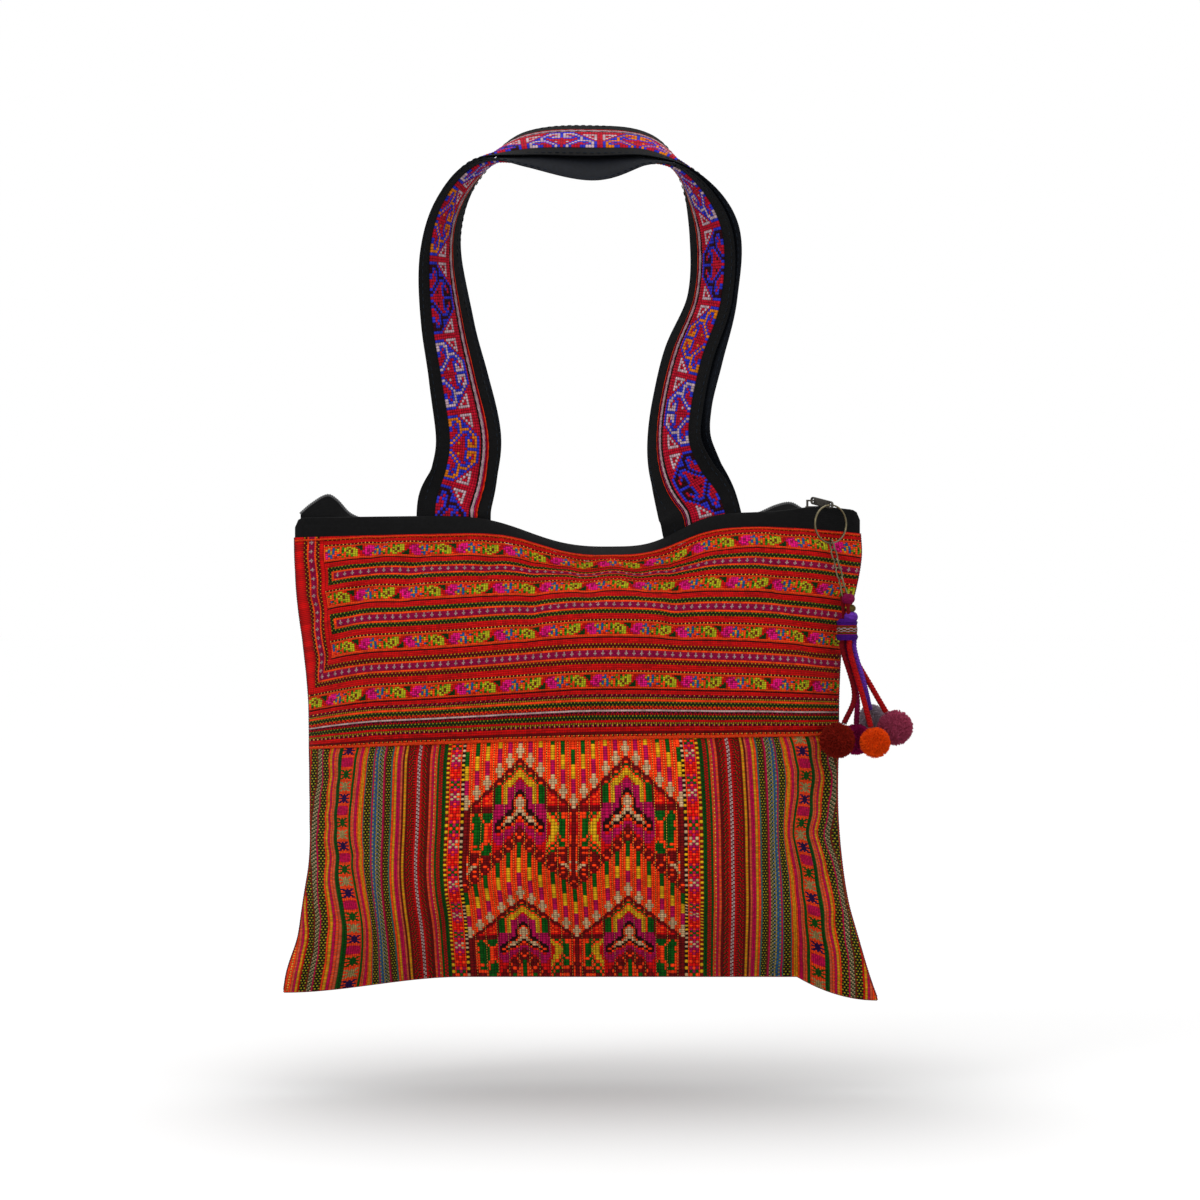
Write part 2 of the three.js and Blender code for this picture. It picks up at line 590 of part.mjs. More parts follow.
function tasselCord(row) {
  const centre = new THREE.Vector3(...row.ball);
  const start = new THREE.Vector3(HEAD.x + row.head[0], HEAD.y + row.head[1], HEAD.bottom - CORD_CLEAR);
  const bend = new THREE.Vector3(...row.bend);
  const inward = bend.clone().sub(centre).normalize();
  const end = centre.clone().addScaledVector(inward, row.radius + CORD_CLEAR);
  const straight = start.clone().add(new THREE.Vector3(0, 0, -CORD_STRAIGHT));
  const path = new THREE.CatmullRomCurve3([start, straight, bend, end]);
  return tube(path, CORD_RADIUS, CORD_SIDES, CORD_STEPS);
}

for (const row of TASSEL) {
  add(`cord_${row.name}`, tasselCord(row), { color: row.cord, roughness: CLOTH_ROUGHNESS });
  add(`pompom_${row.name}`, pompom(row), { color: row.colour, roughness: WOOL_ROUGHNESS });
}

// Handles. Each strap is swept along the table's curve; the loop's inside lies towards
// the axis under the crown, so the inward direction is the curve's normal in the front plane.
STRAP.forEach((row, i) => Object.assign(row, { at: i }));

function strapFrame(at) {
  const spot = (a) => new THREE.Vector3(along(STRAP, 'at', 'x', a), 0, along(STRAP, 'at', 'z', a));
  const ahead = spot(Math.min(at + LOOK_AHEAD, STRAP.length - 1));
  const behind = spot(Math.max(at - LOOK_AHEAD, 0));
  const forward = ahead.sub(behind).normalize();
  const inward = new THREE.Vector3(forward.z, 0, -forward.x);
  const turn = THREE.MathUtils.degToRad(along(STRAP, 'at', 'turn', at));
  const viewer = new THREE.Vector3(0, -1, 0);
  const face = viewer.clone().multiplyScalar(Math.cos(turn)).addScaledVector(inward, Math.sin(turn));
  const toInside = inward.clone().multiplyScalar(Math.cos(turn)).addScaledVector(viewer, -Math.sin(turn));
  return { middle: spot(at), face, toInside };
}

function strapPoint(share, sideways, height, side) {
  const at = share * (STRAP.length - 1);
  const { middle, face, toInside } = strapFrame(at);
  const slip = along(STRAP, 'at', side > 0 ? 'slipFront' : 'slipBack', at);
  const lift = along(STRAP, 'at', 'apart', at) / 2 + height;
  return middle.addScaledVector(face, lift * side).addScaledVector(toInside, slip + sideways);
}

function strapPiece(lines, low, high, side) {
  const rows = lines.length - 1;
  const outer = (c, r) => strapPoint(c, lines[Math.round(r * rows)], high, side);
  const inner = (c, r) => strapPoint(c, lines[Math.round(r * rows)], low, side);
  const geometry = wall(outer, inner, STRAP_STEPS, rows);
  return side > 0 ? geometry : flipped(geometry);
}

for (const [word, side] of [['front', 1], ['back', -1]]) {
  const half = STRAP_WIDTH / 2;
  const top = STRAP_THICK / 2;
  const under = top + RIBBON_LIFT;
  const ribbonLines = [RIBBON_FROM, RIBBON_TO];
  const strapLines = [-half, ...ribbonLines, half];
  add(`${word}_strap`, strapPiece(strapLines, -top, top, side), side > 0 ? FINISH.black : FINISH.navy);
  add(`${word}_strap_ribbon`, strapPiece(ribbonLines, under, under + RIBBON_THICK, side), FINISH.ribbon);
}

export default bag;
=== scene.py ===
# %% [markdown]
# # An embroidered shoulder bag
# This lesson dresses a soft zipped bag: two cloth walls full of stripes and cross stitch, a black
# band with a zip, two handles with a sewn-on ribbon, and a charm with five pompoms.
# The solids are already in the scene at their real size. Each step below lays the real cloth,
# thread, metal or wool over one of them, and never moves them.

# %% Load the frame
import math
from collections import namedtuple

import bpy
import numpy as np
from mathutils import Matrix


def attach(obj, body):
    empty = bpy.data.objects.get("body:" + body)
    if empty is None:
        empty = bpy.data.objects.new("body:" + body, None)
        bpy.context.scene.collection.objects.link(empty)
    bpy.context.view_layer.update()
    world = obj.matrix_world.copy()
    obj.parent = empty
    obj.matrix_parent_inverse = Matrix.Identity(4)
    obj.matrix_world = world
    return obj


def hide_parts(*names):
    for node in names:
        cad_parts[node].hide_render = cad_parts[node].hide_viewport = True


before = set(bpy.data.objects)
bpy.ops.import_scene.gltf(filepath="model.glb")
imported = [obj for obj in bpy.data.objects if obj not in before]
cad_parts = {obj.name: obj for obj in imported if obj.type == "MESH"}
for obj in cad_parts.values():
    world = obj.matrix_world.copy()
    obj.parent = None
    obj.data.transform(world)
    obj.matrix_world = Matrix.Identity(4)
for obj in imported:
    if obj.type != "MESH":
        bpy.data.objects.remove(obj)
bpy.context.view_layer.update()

MM = 0.001

# %% [markdown]
# ## Camera, light and floor
# The camera stands level with the middle of the bag and far away, so that the stripes stay nearly
# parallel. Its frame is 1200 x 1200 pixels, and one pixel is 0.635 mm on the bag's middle plane.
# A white world, two large lamps and a broad sun overhead give the flat light of a catalogue
# picture. The sun also throws the soft shadow on the pale floor.

# %% Camera
PIXEL = 0.635 * MM
FRAME_PIXELS = 1200
ORIGIN_PIXEL = (581, 165)
CAMERA_DISTANCE = 2.5
SENSOR = 36.0


def from_pixel(across, down):
    """Place on the bag's middle plane that a pixel of the 1200 x 1200 frame shows."""
    return (across - ORIGIN_PIXEL[0]) * PIXEL, (ORIGIN_PIXEL[1] - down) * PIXEL


middle_x, middle_z = from_pixel(FRAME_PIXELS / 2, FRAME_PIXELS / 2)
bpy.ops.object.select_all(action="DESELECT")
bpy.ops.object.camera_add(location=(middle_x, -CAMERA_DISTANCE, middle_z), rotation=(math.pi / 2, 0, 0))
camera = bpy.context.active_object
camera.data.sensor_width = SENSOR
camera.data.lens = SENSOR * CAMERA_DISTANCE / (FRAME_PIXELS * PIXEL)
bpy.context.scene.camera = camera
bpy.context.scene.view_settings.view_transform = "Standard"
print("camera lens:", round(camera.data.lens, 1), "mm")

# %% Lamps and world
# Each lamp: place, the point it looks at, size and power.
Lamp = namedtuple("Lamp", "name place aim size power")
LAMPS = [
    Lamp("front_left", (-1.7, -2.0, 0.9), (0.0, 0.0, -0.3), 0.9, 22.0),
    Lamp("front_right", (1.5, -2.3, 0.2), (0.0, 0.0, -0.3), 1.2, 4.0),
]
WORLD_STRENGTH = 1.0
SKY_SHARE = 0.9             # light from overhead, as a share of the white room's
SKY_SPREAD = 84             # degrees across, which softens the shadow under the bag


def point_at(piece, aim):
    """Turn a lamp so that it looks at a point."""
    away = piece.location - type(piece.location)(aim)
    piece.rotation_euler = away.to_track_quat("Z", "Y").to_euler()


for row in LAMPS:
    bpy.ops.object.light_add(type="AREA", location=row.place)
    lamp = bpy.context.active_object
    lamp.name = row.name
    lamp.data.size = row.size
    lamp.data.energy = row.power
    point_at(lamp, row.aim)
bpy.ops.object.light_add(type="SUN", location=(0, 0, 1))
sky = bpy.context.active_object
sky.name = "overhead"
sky.data.energy = SKY_SHARE * math.pi
sky.data.angle = math.radians(SKY_SPREAD)

world = bpy.data.worlds.new("white_room")
world.use_nodes = True
world.node_tree.nodes["Background"].inputs["Color"].default_value = (1, 1, 1, 1)
world.node_tree.nodes["Background"].inputs["Strength"].default_value = WORLD_STRENGTH
bpy.context.scene.world = world
print("lamps:", [row.name for row in LAMPS] + [sky.name])

# %% [markdown]
# ## Writing shaders as sums
# Shader nodes are easier to read as arithmetic. The class Wire holds a socket, and its operators
# add Math nodes, so 1 - mask is an expression. Every other node comes from one method.

# %% Shader helpers


class Wire:
    """A socket that takes part in arithmetic."""

    def __init__(self, finish, socket):
        self.finish = finish
        self.socket = socket

    def _math(self, operation, first, second):
        return self.finish.node("Math", {"operation": operation}, {0: first, 1: second})

    def __add__(self, other):
        return self._math("ADD", self, other)

    def __sub__(self, other):
        return self._math("SUBTRACT", self, other)

    def __rsub__(self, other):
        return self._math("SUBTRACT", other, self)

    def __mul__(self, other):
        return self._math("MULTIPLY", self, other)

    __radd__ = __add__
    __rmul__ = __mul__


# %% Finishes


class Finish:
    """A material under construction, with its shader and a method for each node."""

    def __init__(self, name, **constants):
        self.material = bpy.data.materials.new(name)
        self.material.use_nodes = True
        self.tree = self.material.node_tree
        self.shader = self.tree.nodes["Principled BSDF"]
        for socket, value in constants.items():
            self.set(socket.replace("_", " ").title(), value)

    def set(self, socket, value):
        self._plug(self.shader.inputs[socket], value)

    def _plug(self, socket, value):
        if isinstance(value, Wire):
            self.tree.links.new(value.socket, socket)
        else:
            socket.default_value = value

    def node(self, kind, settings=None, sockets=None, output=0):
        """Any node: its type, its settings, its sockets' values or wires, and which output."""
        made = self.tree.nodes.new("ShaderNode" + kind)
        for name, value in (settings or {}).items():
            if name == "stops":
                for stop, (place, colour) in zip(made.color_ramp.elements, value):
                    stop.position = place
                    stop.color = colour
            else:
                setattr(made, name, value)
        for key, value in (sockets or {}).items():
            self._plug(made.inputs[key], value)
        return Wire(self, made.outputs[output])

    def place(self):
        """Where a point lies on the piece, in metres."""
        return self.node("TexCoord", output="Object")

    def thread(self, output="Color"):
        """Colour of the thread at a point, or its alpha."""
        return self.node("Attribute", {"attribute_name": "thread"}, None, output)

    def flat(self):
        """Where a point lies on the flat cloth, counted in stitches."""
        return self.node("UVMap", {"uv_map": "cloth"})

    def off_middle(self, axis):
        """How far a point lies off the middle of its stitch: 0 in the middle and 1 at its edge."""
        counted = self.node("SeparateXYZ", None, {0: self.flat()}, axis)
        return 1 - 2 * self.node("Math", {"operation": "PINGPONG"}, {0: counted, 1: 0.5})

    def noise(self, place, size, detail=2.0):
        """Soft random values with spots of about this size in metres."""
        return self.node("TexNoise", None, {"Vector": place, "Scale": 1 / size, "Detail": detail})

    def waves(self, place, pitch, direction="X"):
        """Even ridges across one direction, a pitch apart."""
        settings = {"wave_type": "BANDS", "bands_direction": direction, "wave_profile": "SIN"}
        return self.node("TexWave", settings, {"Vector": place, "Scale": WAVE_TURN / pitch}, "Fac")

    def blend(self, share, first, second, mode="MIX"):
        """Colour between two colours."""
        settings = {"data_type": "RGBA", "blend_type": mode}
        return self.node("Mix", settings, {0: share, 6: first, 7: second}, 2)

    def shade(self, colour, value):
        """A colour made darker or lighter by a number."""
        grey = self.node("CombineColor", None, {0: value, 1: value, 2: value})
        return self.blend(1.0, colour, grey, "MULTIPLY")

    def ridges(self, height, depth):
        """Let the light read a height, in metres, as relief."""
        self.set("Normal", self.node("Bump", None, {"Height": height, "Distance": depth, "Strength": 1.0}))


WAVE_TURN = math.pi / 10      # turns a pitch into the scale that the wave texture takes


def linear(code):
    """A colour written as #rrggbb, as linear numbers."""
    parts = [int(code[i:i + 2], 16) / 255 for i in (1, 3, 5)]
    return [c / 12.92 if c <= 0.04045 else ((c + 0.055) / 1.055) ** 2.4 for c in parts]


# %% [markdown]
# ## The floor
# The floor is a wide sheet of paper, as white in full light as the room around it. It belongs to
# the stage and not to the bag. The shadow in the picture is darker and more even than lamps make
# it, so the paper's colour carries a painted shadow there too.

# %% Floor
FLOOR_HEIGHT = from_pixel(0, 1092)[1]
FLOOR_SIZE = 60.0
bpy.ops.object.select_all(action="DESELECT")
bpy.ops.mesh.primitive_plane_add(size=FLOOR_SIZE, location=(0, 0, FLOOR_HEIGHT))
floor = bpy.context.active_object
floor.name = "floor"
paper = Finish("pale_floor", roughness=1.0)
pale = 1 / (WORLD_STRENGTH + SKY_SHARE)      # as white as the room in full light
paper.set("Specular IOR Level", 0.0)
# The painted shadow on the paper: how much darker, its middle, its reach and how steep its edge is.
PAINTED_SHADOW_DEPTH, PAINTED_SHADOW_AT, PAINTED_SHADOW_REACH, PAINTED_SHADOW_EDGE = 0.25, (0.02, -0.006), (0.236, 0.258), (5.0, 2.2)


def fall(axis):
    """How far a point of the floor lies from the painted shadow's middle, as a steep power."""
    away = paper.node("SeparateXYZ", None, {0: paper.place()}, axis) - PAINTED_SHADOW_AT[axis]
    share = paper.node("Math", {"operation": "ABSOLUTE"}, {0: away * (1 / PAINTED_SHADOW_REACH[axis])})
    return paper.node("Math", {"operation": "POWER"}, {0: share, 1: PAINTED_SHADOW_EDGE[axis]})


# The paper's colour is darkened here: a painted shadow.
painted_shadow = paper.node("Math", {"operation": "EXPONENT"}, {0: 0 - (fall(0) + fall(1))})
paper.set("Base Color", paper.shade((pale, pale, pale, 1), 1 - PAINTED_SHADOW_DEPTH * painted_shadow))
floor.data.materials.append(paper.material)
print("floor at", round(FLOOR_HEIGHT, 3), "m")

# %% [markdown]
# ## The threads
# Every patterned piece carries its colours as an attribute called thread, one colour for each
# stitch, because that is how such cloth is made: a chart says which thread goes in which hole.
# The letters below are the charts' alphabet. Alpha 0 marks the gold lurex thread, which shines.

# %% Thread colours
THREADS = {
    "r": "#d00a08", "R": "#70060a", "o": "#fb4a14", "f": "#fc420e", "s": "#d8603a", "m": "#ac064e",
    "p": "#ee1284", "y": "#d2a012", "Y": "#aea01c", "g": "#06540e", "d": "#0a3c0c",
    "l": "#3f8c12", "b": "#1c5c9c", "B": "#3238c8", "t": "#44706a", "w": "#c2a078",
    "W": "#c8a8a4", "k": "#2a0708", "v": "#2d0b4c", "c": "#a8945e", "n": "#7a2a10",
    "e": "#77785a", "G": "#f0c050", "O": "#e88312", "K": "#3a0612", "P": "#d0b2bc",
    "x": "#0b0b0c", "X": "#0a0e16", "q": "#c41030", "z": "#1a222c", "u": "#54148c",
    "1": "#8c1e12", "2": "#a01258", "3": "#fa560e", "4": "#b44a68", "5": "#a898a4", "a": "#bcb81c",
    "M": "#c8064e", "h": "#8a0618", "H": "#92084e", "i": "#c00a10", "I": "#7a3cc0", "j": "#6a5a2a",
}
METAL_THREADS = "G"
STITCH_SPREAD = 0.26    # how much one stitch may be lighter or darker than the next
LETTERS = "".join(THREADS)
DYE_LIGHT, DYE_DEPTH = 0.60, 1.06       # the picture shows the cloth darker than the white room
COLOURS = np.array([
    [DYE_LIGHT * part ** DYE_DEPTH for part in linear(THREADS[letter])]
    + [0.0 if letter in METAL_THREADS else 1.0]
    for letter in LETTERS
])
draws = np.random.default_rng(7)


def thread_colours(letters, painted_sheen=1.0):
    """Colours of an array of chart letters, each stitch a little different; the last argument makes them
    lighter as a painted sheen.
    """
    found = COLOURS[np.vectorize(LETTERS.index)(letters)]
    found[..., :3] *= painted_sheen * (1 + STITCH_SPREAD * (draws.random(letters.shape)[..., None] * 2 - 1))
    return found


print("threads:", len(THREADS))

# %% [markdown]
# ## Cloth from a grid
# A woven cloth is a grid, so it starts as Blender's grid primitive with one face for each stitch.
# Its points are then laid along the bag. Poking every face raises its middle a little, and the
# four small facets look like the two crossed threads of a stitch.

# %% Mesh helpers


def select_only(piece):
    bpy.ops.object.select_all(action="DESELECT")
    piece.select_set(True)
    bpy.context.view_layer.objects.active = piece


def edit(piece, *steps):
    """Run mesh operators on everything in a piece."""
    select_only(piece)
    bpy.ops.object.mode_set(mode="EDIT")
    bpy.ops.mesh.select_all(action="SELECT")
    for step, settings in steps:
        step(**settings)
    bpy.ops.object.mode_set(mode="OBJECT")


def grid_piece(name, points):
    """A grid whose points, in millimetres, are given row by row."""
    rows, columns = points.shape[0] - 1, points.shape[1] - 1
    bpy.ops.object.select_all(action="DESELECT")
    bpy.ops.mesh.primitive_grid_add(x_subdivisions=columns, y_subdivisions=rows, size=1)
    piece = bpy.context.active_object
    piece.name = name
    piece.data.name = name
    piece.data.vertices.foreach_set("co", (points * MM).astype(np.float32).ravel())
    piece.data.update()
    return piece


# %% Flat map and threads of a grid


def give_flat(piece, across, down):
    """Keep each corner's place on the flat cloth, counted in stitches, as the map called cloth."""
    layer = piece.data.uv_layers[0]
    layer.name = "cloth"
    corners = np.zeros(len(piece.data.loops), np.int32)
    piece.data.loops.foreach_get("vertex_index", corners)
    flat = np.stack(np.broadcast_arrays(across, down), axis=-1).reshape(-1, 2)
    layer.data.foreach_set("uv", flat[corners].astype(np.float32).ravel())


def give_thread(piece, colours):
    """Colour each face of a fresh grid; colours has one row for each row of faces."""
    sides = len(piece.data.loops) // len(piece.data.polygons)
    attribute = piece.data.color_attributes.new("thread", "FLOAT_COLOR", "CORNER")
    spread = np.repeat(colours.reshape(-1, 4), sides, axis=0)
    attribute.data.foreach_set("color", spread.astype(np.float32).ravel())


def outward(points, side):
    """Unit direction out of a grid of points; side is 1 on the front of the bag and -1 behind."""
    down, across = np.gradient(points, axis=(0, 1))
    normal = np.cross(across, down)
    normal /= np.maximum(np.linalg.norm(normal, axis=-1, keepdims=True), 1e-9)
    return normal * -np.sign(normal[..., 1:2] + 1e-9) * side


def stitched_grid(name, points, letters, painted_sheen=1.0):
    """A grid with a letter for each face, whose flat map counts its rows and columns; the last argument
    lightens its colours as a painted sheen.
    """
    piece = grid_piece(name, points)
    rows, columns = letters.shape
    give_flat(piece, np.arange(columns + 1)[None, :], np.arange(rows + 1)[:, None])
    give_thread(piece, thread_colours(letters, painted_sheen))
    return piece


# %% Tubes


def distances(path):
    """How far along a path each of its points lies."""
    return np.concatenate([[0], np.cumsum(np.linalg.norm(np.diff(path, axis=0), axis=1))])


def unit(ways):
    """The same directions, each one long."""
    return ways / np.linalg.norm(ways, axis=-1, keepdims=True)


TUBE_STITCH = 0.8


def tube_piece(name, rings, letters, closed_path=False):
    """A tube through rings of points, in millimetres: rings[step, corner].

    letters is a chart for its faces, or a string that repeats round the tube.
    """
    if closed_path:
        rings = np.concatenate([rings, rings[:1]], axis=0)
    else:
        corners = rings.shape[1]
        caps = [np.repeat(rings[end].mean(axis=0)[None, None, :], corners, axis=1) for end in (0, -1)]
        rings = np.concatenate([caps[0], rings, caps[1]], axis=0)
    around = np.concatenate([rings, rings[:, :1]], axis=1)
    piece = grid_piece(name, around)
    steps, sides = around.shape[0] - 1, around.shape[1] - 1
    girth = np.linalg.norm(np.diff(around[steps // 2], axis=0), axis=1).sum()
    gone = distances(around.mean(axis=1))
    give_flat(piece, np.linspace(0, girth, sides + 1)[None, :] / TUBE_STITCH, gone[:, None] / TUBE_STITCH)
    if isinstance(letters, str):
        letters = np.array([list(letters)])
    chart = letters[np.arange(steps) % len(letters)][:, np.arange(sides) % letters.shape[1]]
    give_thread(piece, thread_colours(chart))
    edit(piece, (bpy.ops.mesh.remove_doubles, {"threshold": 1e-6}),
         (bpy.ops.mesh.normals_make_consistent, {"inside": False}))
    return piece


def along_path(path):
    """Direction of a path at each of its points."""
    return unit(np.gradient(path, axis=0))


def round_rings(path, radius, sides, up=(0.0, 1.0, 0.0), lobes=0, lobe_height=0.0, turn_length=1.0):
    """Rings of points round a path; lobes and a turn length lay strands round it like a cord's."""
    ahead = along_path(path)
    side = unit(np.cross(ahead, np.array(up)))
    over = np.cross(side, ahead)
    gone = distances(path)
    angle = np.linspace(0, 2 * math.pi, sides, endpoint=False)[None, :]
    strand = 1 + lobe_height * np.cos(lobes * (angle - 2 * math.pi * gone[:, None] / turn_length))
    reach = np.broadcast_to(radius, gone.shape)[:, None] * strand
    return path[:, None] + reach[..., None] * (
        np.cos(angle)[..., None] * side[:, None] + np.sin(angle)[..., None] * over[:, None])


# %% Handing a piece over


def finish_piece(piece, body, slot, finish, *nodes):
    """Hand a piece to the body that it moves with, with its finish and the solids it stands for."""
    piece.data.materials.clear()
    piece.data.materials.append(finish.material)
    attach(piece, body)
    if nodes:
        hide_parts(*nodes)
    print(piece.name, len(piece.data.polygons), "faces")


# %% [markdown]
# ## The bag's form
# The bag is a soft envelope: widest at its top corners and its two lower ears, fullest a little
# below its middle. The same tables as in the solids give its outline, its belly and its seams.
# u runs from -1 at the left side seam to 1 at the right one.

# %% Tables of the form
SIDES = ((1, "front"), (-1, "back"))
HANDS = ((-1, "left"), (1, "right"))
Level = namedtuple("Level", "level left right belly")
LEVELS = [Level(*row) for row in [
    (0.00, -181.5, 177.0, 16.0), (0.05, -181.0, 177.5, 24.0), (0.12, -179.5, 174.0, 33.0),
    (0.22, -175.5, 166.0, 41.0), (0.33, -172.5, 163.5, 46.0), (0.45, -172.0, 163.0, 49.0),
    (0.60, -171.5, 162.5, 50.0), (0.70, -171.8, 164.5, 47.5), (0.80, -176.0, 169.0, 41.0),
    (0.88, -179.5, 176.0, 32.0), (0.95, -186.0, 182.5, 18.0), (1.00, -188.5, 188.0, 0.0),
]]
Dent = namedtuple("Dent", "x z lean long wide deep")
DENTS = [Dent(*row) for row in [
    (138, -500, 10, 36, 9, 6.0), (152, -452, -14, 40, 7, 3.0), (-146, -492, -20, 34, 10, 4.0),
    (-156, -455, 12, 38, 7, 2.5), (22, -262, 90, 62, 13, 4.0), (-118, -262, 64, 40, 11, 2.5),
]]
# Small creases that only the cloth itself shows; a negative depth is a ridge.
CREASES = [Dent(*row) for row in [
    (128, -415, 8, 30, 7, -2.2), (143, -402, -12, 26, 6, 2.4), (152, -430, 14, 30, 6, -1.8),
    (116, -486, -16, 34, 8, -2.0), (160, -498, 30, 22, 6, -2.2), (-150, -418, 6, 40, 8, -1.5),
    (-128, -496, -14, 30, 9, -1.8), (-166, -500, -34, 20, 6, 1.8), (20, -274, 90, 46, 6, -1.4),
    (84, -262, 60, 36, 10, 1.6), (-64, -250, 70, 30, 8, -1.2), (-150, -300, 24, 46, 10, 1.6),
    (138, -300, -22, 44, 9, 2.0), (-20, -488, 80, 60, 9, 1.2), (60, -494, 100, 50, 8, 1.4),
]]
CLOTH = 2.0
HALF_GAP = 0.2
SIDE_POWER, SIDE_ROUND = 2.4, 0.75
MID_SEAM, MID_SEAM_Z, MID_SEAM_DROOP, MID_SEAM_POWER = 0.452, -361.3, 8.7, 2.5
BAND_TOP, BAND_SEAM = (-224.5, -220.5), (-236.5, -228.5)
DIP_X, DIP_TOP, DIP_TOP_REACH = 22.0, 20.5, (64.0, 46.5)
DIP_SEAM, DIP_SEAM_REACH, DIP_FADE, DIP_FADE_POWER = 15.8, (55.0, 47.0), 0.2, 2.6
DIP_POWER = 3
DIP_ROLL, DIP_ROLL_REACH = 7.5, 27.0
MOUTH_HALF, MOUTH_POWER, MOUTH_ROUND = 11.0, 4.0, 0.6
BOTTOM_Z = -515.0
LEFT_EAR, RIGHT_EAR = (-75.0, 113.0, 10.0), (137.0, 51.0, 15.0)
RISE, RISE_AT, RISE_REACH = 5.5, 0.1, 0.45      # the braids arch across the middle
SAG_LEFT, SAG_LEFT_FROM = 6.0, 0.72             # and sag towards both side seams
SAG_RIGHT, SAG_RIGHT_FROM = 5.5, 0.62
SAG_POWER, SAG_RIGHT_FADE = 1.5, 3
CREASE_FADE = 6.0                               # where the wall is flatter than this, creases fade
PUFF, PUFF_AT, PUFF_REACH = 3.2, 150.0, 22.0    # the band stands up under the slider
CORNER = 6.0                                    # and its ends are rounded
print("levels:", len(LEVELS), "dents:", len(DENTS), "creases:", len(CREASES))

# %% Curves and edges


def mix(first, second, share):
    return first + (second - first) * share


def points_at(x, y, z):
    """Points from arrays of their three coordinates."""
    return np.stack(np.broadcast_arrays(x, y, z), axis=-1)


def smooth(share):
    share = np.clip(share, 0, 1)
    return share * share * (3 - 2 * share)


def curve(table, key, column, at):
    """Smooth curve through the rows of a table."""
    keys = np.array([getattr(row, key) for row in table], float)
    values = np.array([getattr(row, column) for row in table], float)
    tangents = np.empty(len(keys))
    tangents[1:-1] = (values[2:] - values[:-2]) / (keys[2:] - keys[:-2])
    tangents[0] = (values[1] - values[0]) / (keys[1] - keys[0])
    tangents[-1] = (values[-1] - values[-2]) / (keys[-1] - keys[-2])
    at = np.clip(at, keys[0], keys[-1])
    row = np.clip(np.searchsorted(keys, at) - 1, 0, len(keys) - 2)
    span = keys[row + 1] - keys[row]
    t = (at - keys[row]) / span
    rise = t * t * (3 - 2 * t)
    leave = t * (1 - t) ** 2 * span * tangents[row]
    arrive = t * t * (1 - t) * span * tangents[row + 1]
    return values[row] * (1 - rise) + values[row + 1] * rise + leave - arrive


def side_seams(level):
    return curve(LEVELS, "level", "left", level), curve(LEVELS, "level", "right", level)


def hollow(away, reach):
    return np.exp(-(np.abs(away) / reach) ** DIP_POWER)


def dip(x, reach):
    return np.where(x < DIP_X, hollow(x - DIP_X, reach[0]), hollow(x - DIP_X, reach[1]))


def band_top_z(x, u):
    left, right = side_seams(0.0)
    past = np.clip(np.maximum(left + CORNER - x, x - right + CORNER) / CORNER, 0, 1)
    corner = CORNER * (1 - np.sqrt(1 - past ** 2))
    puff = PUFF * np.exp(-((x - PUFF_AT) / PUFF_REACH) ** 2)
    return mix(*BAND_TOP, (u + 1) / 2) - DIP_TOP * dip(x, DIP_TOP_REACH) + puff - corner


def mid_seam_z(u):
    return MID_SEAM_Z - MID_SEAM_DROOP * ((1 - u) / 2) ** MID_SEAM_POWER


def braid_z(x, u, share):
    """Height of the braids of the upper panel; the dip of the mouth fades below its first ribbon."""
    share = np.clip(share, 0, 1)
    bow = np.sin(math.pi * share)
    to_left = np.clip((-u - SAG_LEFT_FROM) / (1 - SAG_LEFT_FROM), 0, 1) ** SAG_POWER
    to_right = np.clip((u - SAG_RIGHT_FROM) / (1 - SAG_RIGHT_FROM), 0, 1) ** SAG_POWER
    z = mix(mix(*BAND_SEAM, (u + 1) / 2), mid_seam_z(u), share)
    z = z + RISE * np.exp(-((u - RISE_AT) / RISE_REACH) ** 2) * bow
    z = z - SAG_LEFT * to_left * np.sqrt(np.maximum(bow, 0))
    z = z - SAG_RIGHT * to_right * (1 - share ** SAG_RIGHT_FADE)
    return z - DIP_SEAM * dip(x, DIP_SEAM_REACH) * np.exp(-(share / DIP_FADE) ** DIP_FADE_POWER)


def bottom_z(x):
    left = smooth((LEFT_EAR[0] - x) / LEFT_EAR[1])
    right = 1 - (1 - np.clip((x - RIGHT_EAR[0]) / RIGHT_EAR[1], 0, 1)) ** 2
    return BOTTOM_Z - LEFT_EAR[2] * left - RIGHT_EAR[2] * right


print("middle seam from", round(mid_seam_z(-1), 1), "to", round(mid_seam_z(1), 1), "mm")

# %% The wall


def pressed(table, x, z):
    """Depth to which the dents of a table press the cloth in."""
    depth = np.zeros(np.broadcast(x, z).shape)
    for dent in table:
        lean = math.radians(dent.lean)
        lengthwise = (x - dent.x) * math.sin(lean) + (z - dent.z) * math.cos(lean)
        crosswise = (x - dent.x) * math.cos(lean) - (z - dent.z) * math.sin(lean)
        depth += dent.deep * np.exp(-(lengthwise / dent.long) ** 2 - (crosswise / dent.wide) ** 2)
    return depth


def side_turn(u):
    return (1 - np.abs(u) ** SIDE_POWER) ** SIDE_ROUND


def across_share(x, level):
    """Place between the side seams, from -1 to 1."""
    left, right = side_seams(level)
    return np.clip(2 * (x - left) / (right - left) - 1, -1, 1)


def form_point(x, level, side):
    """Outer face of the bag's wall at a place across it and a level down it, before it creases."""
    u = across_share(x, level)
    upper = braid_z(x, u, level / MID_SEAM)
    lower = mix(mid_seam_z(u), bottom_z(x), (level - MID_SEAM) / (1 - MID_SEAM))
    z = np.where(level <= MID_SEAM, upper, lower)
    turn = side_turn(u)
    place = x if side > 0 else -x
    soft = pressed(CREASES, place, z) * np.sqrt(turn)
    swell = curve(LEVELS, "level", "belly", level) * turn
    depth = np.maximum(swell - pressed(DENTS, x, z) * turn - soft * smooth(swell / CREASE_FADE), 0)
    return points_at(x, -side * (HALF_GAP + CLOTH + depth), z)


print("side seams at the middle:", [round(float(v), 1) for v in side_seams(0.5)])

